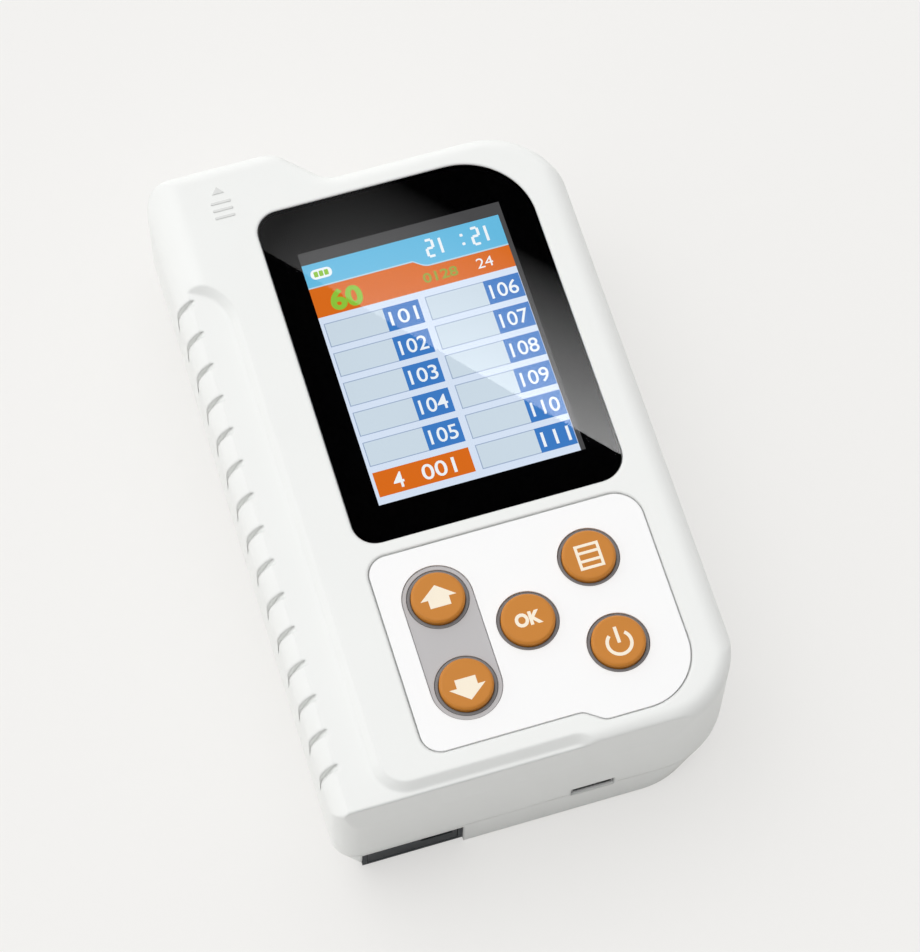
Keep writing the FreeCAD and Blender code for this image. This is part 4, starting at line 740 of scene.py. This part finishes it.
# How far below the middle of its key each mark sits
MARK_DROPS = {"up": 0.4, "down": 0.4, "ok": 0.05, "menu": 0.2, "power": 0.35}
ARROW_HALF_WIDTH, STEM_HALF_WIDTH = 3.2, 1.85
ARROW_FOOT, ARROW_WINGS, ARROW_TIP = -1.45, 0.15, 2.65
WORD_CORNER, WORD_WEIGHT = Vector((2.35, 1.3)), 0.05
PAGE_CORNER, PAGE_STROKE = Vector((2.2, 2.35)), 0.52
PAGE_LINE = 0.78          # how high above and below the page's middle its two lines lie
RING_RADIUS, RING_STROKE, RING_STEPS = 2.1, 0.6, 72
RING_GAP = math.radians(38)                # on each side of the bar
RING_DROP, RING_BAR_HEAD, RING_BAR_ROUND = 0.1, 2.9, 0.1


def key_top(name):
    low, high = [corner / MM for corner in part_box(name + "_key")]
    return Vector(((low.x + high.x) / 2, (low.y + high.y) / 2, high.z))


def key_mark(name, parts):
    """Joins the drawn parts of one key's mark, made about the origin, and puts it on the key."""
    mark = joined(parts)
    top = key_top(name)
    move_by(mark, top.x, top.y - MARK_DROPS[name], top.z)
    finish_piece(mark, name + "_mark", name + "_button", KEY_PRINT)


def arrow():
    """A broad arrow that points up: a block with a triangle on it."""
    stem = plate((-STEM_HALF_WIDTH, ARROW_FOOT), (STEM_HALF_WIDTH, ARROW_WINGS), 0, MARK_RISE)
    tip = triangle((-ARROW_HALF_WIDTH, ARROW_WINGS), (ARROW_HALF_WIDTH, ARROW_TIP), 0,
                   MARK_RISE)
    return joined([stem, tip])


def menu_sign():
    """A page frame with two lines across it."""
    outside = start_plate(-PAGE_CORNER, PAGE_CORNER, 0)
    bpy.ops.mesh.select_all(action="SELECT")
    bpy.ops.mesh.inset(thickness=PAGE_STROKE)
    bpy.ops.mesh.delete(type="FACE")
    thicken(outside, MARK_RISE)
    inner, half = PAGE_CORNER.x - PAGE_STROKE, PAGE_STROKE / 2
    line = plate((-inner, PAGE_LINE - half), (inner, PAGE_LINE + half), 0, MARK_RISE)
    return [outside, line, copy_of(line, y=-2 * PAGE_LINE)]


def power_sign():
    """A ring open at its top, with a bar standing in the gap."""
    half = RING_STROKE / 2
    inner, outer = RING_RADIUS - half, RING_RADIUS + half
    bpy.ops.object.select_all(action="DESELECT")
    bpy.ops.mesh.primitive_circle_add(vertices=RING_STEPS, radius=inner)
    ring = bpy.context.active_object
    start_edit(ring)
    bpy.ops.mesh.select_all(action="SELECT")
    bpy.ops.mesh.extrude_edges_move()
    bpy.ops.transform.resize(value=(outer / inner, outer / inner, 1))
    bpy.ops.mesh.select_mode(type="FACE")
    bpy.ops.mesh.select_all(action="DESELECT")
    pick(ring, "faces", lambda at: abs(math.atan2(at.x, at.y)) < RING_GAP)
    bpy.ops.mesh.delete(type="FACE")
    thicken(ring, MARK_RISE)
    bar = plate((-half, -RING_DROP), (half, RING_BAR_HEAD), 0, MARK_RISE,
                (RING_BAR_ROUND,) * 4)
    return [move_by(ring, y=-RING_DROP), bar]


def build_key_marks():
    up = arrow()
    down = copy_of(up)
    down.rotation_euler = (0, 0, math.pi)
    key_mark("up", [up])
    key_mark("down", [settle(down)])
    word = lettering("OK", -WORD_CORNER, WORD_CORNER, 0, MARK_RISE, WORD_WEIGHT)
    key_mark("ok", [word])
    key_mark("menu", menu_sign())
    key_mark("power", power_sign())


# The small sign raised on the shell beside the screen: an arrow head over three short lines,
# coloured darker than the shell as painted shade along its lines

SIGN_X = -24.0
SIGN_RISE = 0.1
SIGN_LINE_LOW = Vector((SIGN_X - 1.85, 51.55))
SIGN_LINE_SIZE, SIGN_LINE_ROUND = Vector((3.7, 0.5)), 0.2
SIGN_LINE_STEP = 1.5
SIGN_TIP_LOW, SIGN_TIP_HIGH = (SIGN_X - 1.1, 56.6), (SIGN_X + 1.1, 58.0)


def build_shell_sign():
    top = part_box("front_cover")[1].z / MM
    line = plate(SIGN_LINE_LOW, SIGN_LINE_LOW + SIGN_LINE_SIZE, top, SIGN_RISE,
                 (SIGN_LINE_ROUND,) * 4)
    lines = [copy_of(line, y=SIGN_LINE_STEP), copy_of(line, y=2 * SIGN_LINE_STEP), line]
    tip = triangle(SIGN_TIP_LOW, SIGN_TIP_HIGH, top, SIGN_RISE)
    sign = joined(lines + [tip])
    finish_piece(sign, "shell_sign", "housing", SIGN_PAINTED_SHADE)


# The stage: floor, world, lamps, the card that the glass mirrors, and the camera

CAMERA_PLACE = Vector((-81.4, -249.4, 594.9)) * MM
CAMERA_TARGET = Vector((1.27, -8.99, 30.0)) * MM
CAMERA_ROLL = math.radians(2.05)
CAMERA_LENS = 135.13
CAMERA_SENSOR = 36.0
CAMERA_NEAR, CAMERA_FAR = 0.01, 20.0

FLOOR_SIZE = 4.0
FLOOR_DROP = 0.0003
FLOOR_UNEVEN = 0.004
FLOOR_GLOW = 0.6      # how much of the floor, as seen, is evenly pale whatever shades it
ROOM_SIDE = Vector((-0.3, 0.5, 0.8)).normalized()     # where the room is brightest
ROOM_BASE, ROOM_GAIN = 0.245, 1.25
LAMP_PLACE = Vector((-0.45, 0.60, 1.20))
LAMP_SIZE = 1.0
LAMP_POWER = 2.0


def add_floor():
    bpy.ops.object.select_all(action="DESELECT")
    bpy.ops.mesh.primitive_plane_add(size=FLOOR_SIZE, location=(0, 0, -FLOOR_DROP))
    floor = settle(bpy.context.active_object)
    floor.name = "floor"
    made, tree, shader = new_finish("floor_paper")
    texture = use_group(tree, GRAIN, Cloud_Size=0.3)
    shader.inputs["Roughness"].default_value = 0.95
    shader.inputs["Specular IOR Level"].default_value = 0.0
    shader.inputs["Emission Color"].default_value = BACKGROUND
    seen = tree.nodes.new("ShaderNodeLightPath").outputs["Is Camera Ray"]
    glow = arithmetic(tree, "MULTIPLY", seen, FLOOR_GLOW)
    feed(tree, shader.inputs["Emission Strength"], glow)
    paper = blend_colours(tree, texture["Cloud"], darker(BACKGROUND, FLOOR_UNEVEN), BACKGROUND)
    feed(tree, shader.inputs["Base Color"], blend_colours(tree, glow, paper, BLACK))
    floor.data.materials.append(made)


def add_world():
    """A pale room that is brightest above the far end and shows the background's own colour."""
    world = bpy.data.worlds.new("pale_room")
    bpy.context.scene.world = world
    world.use_nodes = True
    tree = world.node_tree
    light = tree.nodes["Background"]
    light.inputs["Color"].default_value = WHITE
    facing = add_node(tree, "ShaderNodeVectorMath", {"operation": "DOT_PRODUCT"})
    tree.links.new(tree.nodes.new("ShaderNodeTexCoord").outputs["Generated"], facing.inputs[0])
    facing.inputs[1].default_value = ROOM_SIDE
    bright = arithmetic(tree, "MAXIMUM", facing.outputs["Value"], 0.0)
    feed(tree, light.inputs["Strength"],
         arithmetic(tree, "MULTIPLY_ADD", bright, ROOM_GAIN, ROOM_BASE))
    seen = add_node(tree, "ShaderNodeBackground", Color=BACKGROUND, Strength=1.0)
    path = tree.nodes.new("ShaderNodeLightPath")
    straight = arithmetic(tree, "MAXIMUM", path.outputs["Is Camera Ray"],
                          path.outputs["Is Glossy Ray"])
    direct = arithmetic(tree, "MAXIMUM", straight, path.outputs["Is Transmission Ray"])
    mix = tree.nodes.new("ShaderNodeMixShader")
    feed(tree, mix.inputs[0], direct)
    tree.links.new(light.outputs[0], mix.inputs[1])
    tree.links.new(seen.outputs[0], mix.inputs[2])
    tree.links.new(mix.outputs[0], tree.nodes["World Output"].inputs["Surface"])


def add_lamp(name, place, size, power):
    bpy.ops.object.select_all(action="DESELECT")
    bpy.ops.object.light_add(type="AREA", location=place)
    lamp = bpy.context.active_object
    lamp.name = name
    lamp.rotation_euler = (-place).to_track_quat("-Z", "Y").to_euler()
    lamp.data.shape = "DISK"
    lamp.data.size = size
    lamp.data.energy = power


# The glass mirrors a black card overhead with one grey sheen on it, which ends at a sharp line.

CARD_HEIGHT = 1000.0
CARD_SIZE = (240.0, 300.0)
GLASS_MIRROR = 0.043                       # the share of light that the glass sends back
SHEEN_START = Vector((-24.5, 60.5))        # two spots of the sharp line, on the glass
SHEEN_END = Vector((24.5, 3.5))
SHEEN_FADE = 25.0
SHEEN_WEAK, SHEEN_STRONG = 0.02, 0.28


def add_card():
    glass_top = LENS_HIGH.z
    eye = CAMERA_PLACE / MM
    mirrored = Vector((eye.x, eye.y, 2 * glass_top - eye.z))
    reach = (CARD_HEIGHT - mirrored.z) / (glass_top - mirrored.z)
    middle = Vector(((LENS_LOW.x + LENS_HIGH.x) / 2, (LENS_LOW.y + LENS_HIGH.y) / 2))
    centre = mirrored.xy + (middle - mirrored.xy) * reach
    bpy.ops.object.select_all(action="DESELECT")
    bpy.ops.mesh.primitive_plane_add(size=1)
    card = bpy.context.active_object
    card.scale = (CARD_SIZE[0] * MM, CARD_SIZE[1] * MM, 1)
    card.location = (centre.x * MM, centre.y * MM, CARD_HEIGHT * MM)
    settle(card)
    card.name = "glass_card"

    made, tree, shader = new_finish("card_sheen")
    place = tree.nodes.new("ShaderNodeTexCoord").outputs["Object"]
    foot = Vector(((LENS_LOW.x + LENS_HIGH.x) / 2, LENS_LOW.y))
    start = SHEEN_START + foot
    run = (SHEEN_END - SHEEN_START).normalized()
    side = Vector((-run.y, run.x))

    def measure(direction):
        """How far a spot of the glass lies from the sheen's start, in millimetres."""
        reached = add_node(tree, "ShaderNodeVectorMath", {"operation": "DOT_PRODUCT"})
        tree.links.new(place, reached.inputs[0])
        reached.inputs[1].default_value = (direction.x, direction.y, 0.0)
        still = mirrored.xy - mirrored.xy / reach - start
        return arithmetic(tree, "MULTIPLY_ADD", reached.outputs["Value"], 1 / (MM * reach),
                          direction.dot(still))

    along = spread(tree, measure(run), SHEEN_WEAK, SHEEN_STRONG, 0.0,
                   (SHEEN_END - SHEEN_START).length)
    away = measure(side)
    fade = spread(tree, away, 1.0, 0.0, 0.0, SHEEN_FADE)
    lit_side = arithmetic(tree, "GREATER_THAN", away, 0.0)
    amount = arithmetic(tree, "MULTIPLY", arithmetic(tree, "MULTIPLY", along, fade), lit_side)
    shader.inputs["Base Color"].default_value = BLACK
    shader.inputs["Specular IOR Level"].default_value = 0.0
    feed(tree, shader.inputs["Emission Color"], blend_colours(tree, amount, BLACK, WHITE))
    shader.inputs["Emission Strength"].default_value = 1 / GLASS_MIRROR
    card.data.materials.append(made)


def add_camera():
    bpy.ops.object.select_all(action="DESELECT")
    turn = (CAMERA_TARGET - CAMERA_PLACE).to_track_quat("-Z", "Y").to_matrix().to_4x4()
    bpy.ops.object.camera_add(location=CAMERA_PLACE)
    camera = bpy.context.active_object
    camera.matrix_world = (Matrix.Translation(CAMERA_PLACE) @ turn
                           @ Matrix.Rotation(CAMERA_ROLL, 4, "Z"))
    camera.data.lens = CAMERA_LENS
    camera.data.sensor_width = CAMERA_SENSOR
    camera.data.clip_start = CAMERA_NEAR
    camera.data.clip_end = CAMERA_FAR
    bpy.context.scene.camera = camera


dress_nodes()
build_display()
build_key_marks()
build_shell_sign()
add_floor()
add_world()
add_lamp("soft_lamp", LAMP_PLACE, LAMP_SIZE, LAMP_POWER)
add_card()
add_camera()
bpy.context.scene.view_settings.view_transform = "Standard"
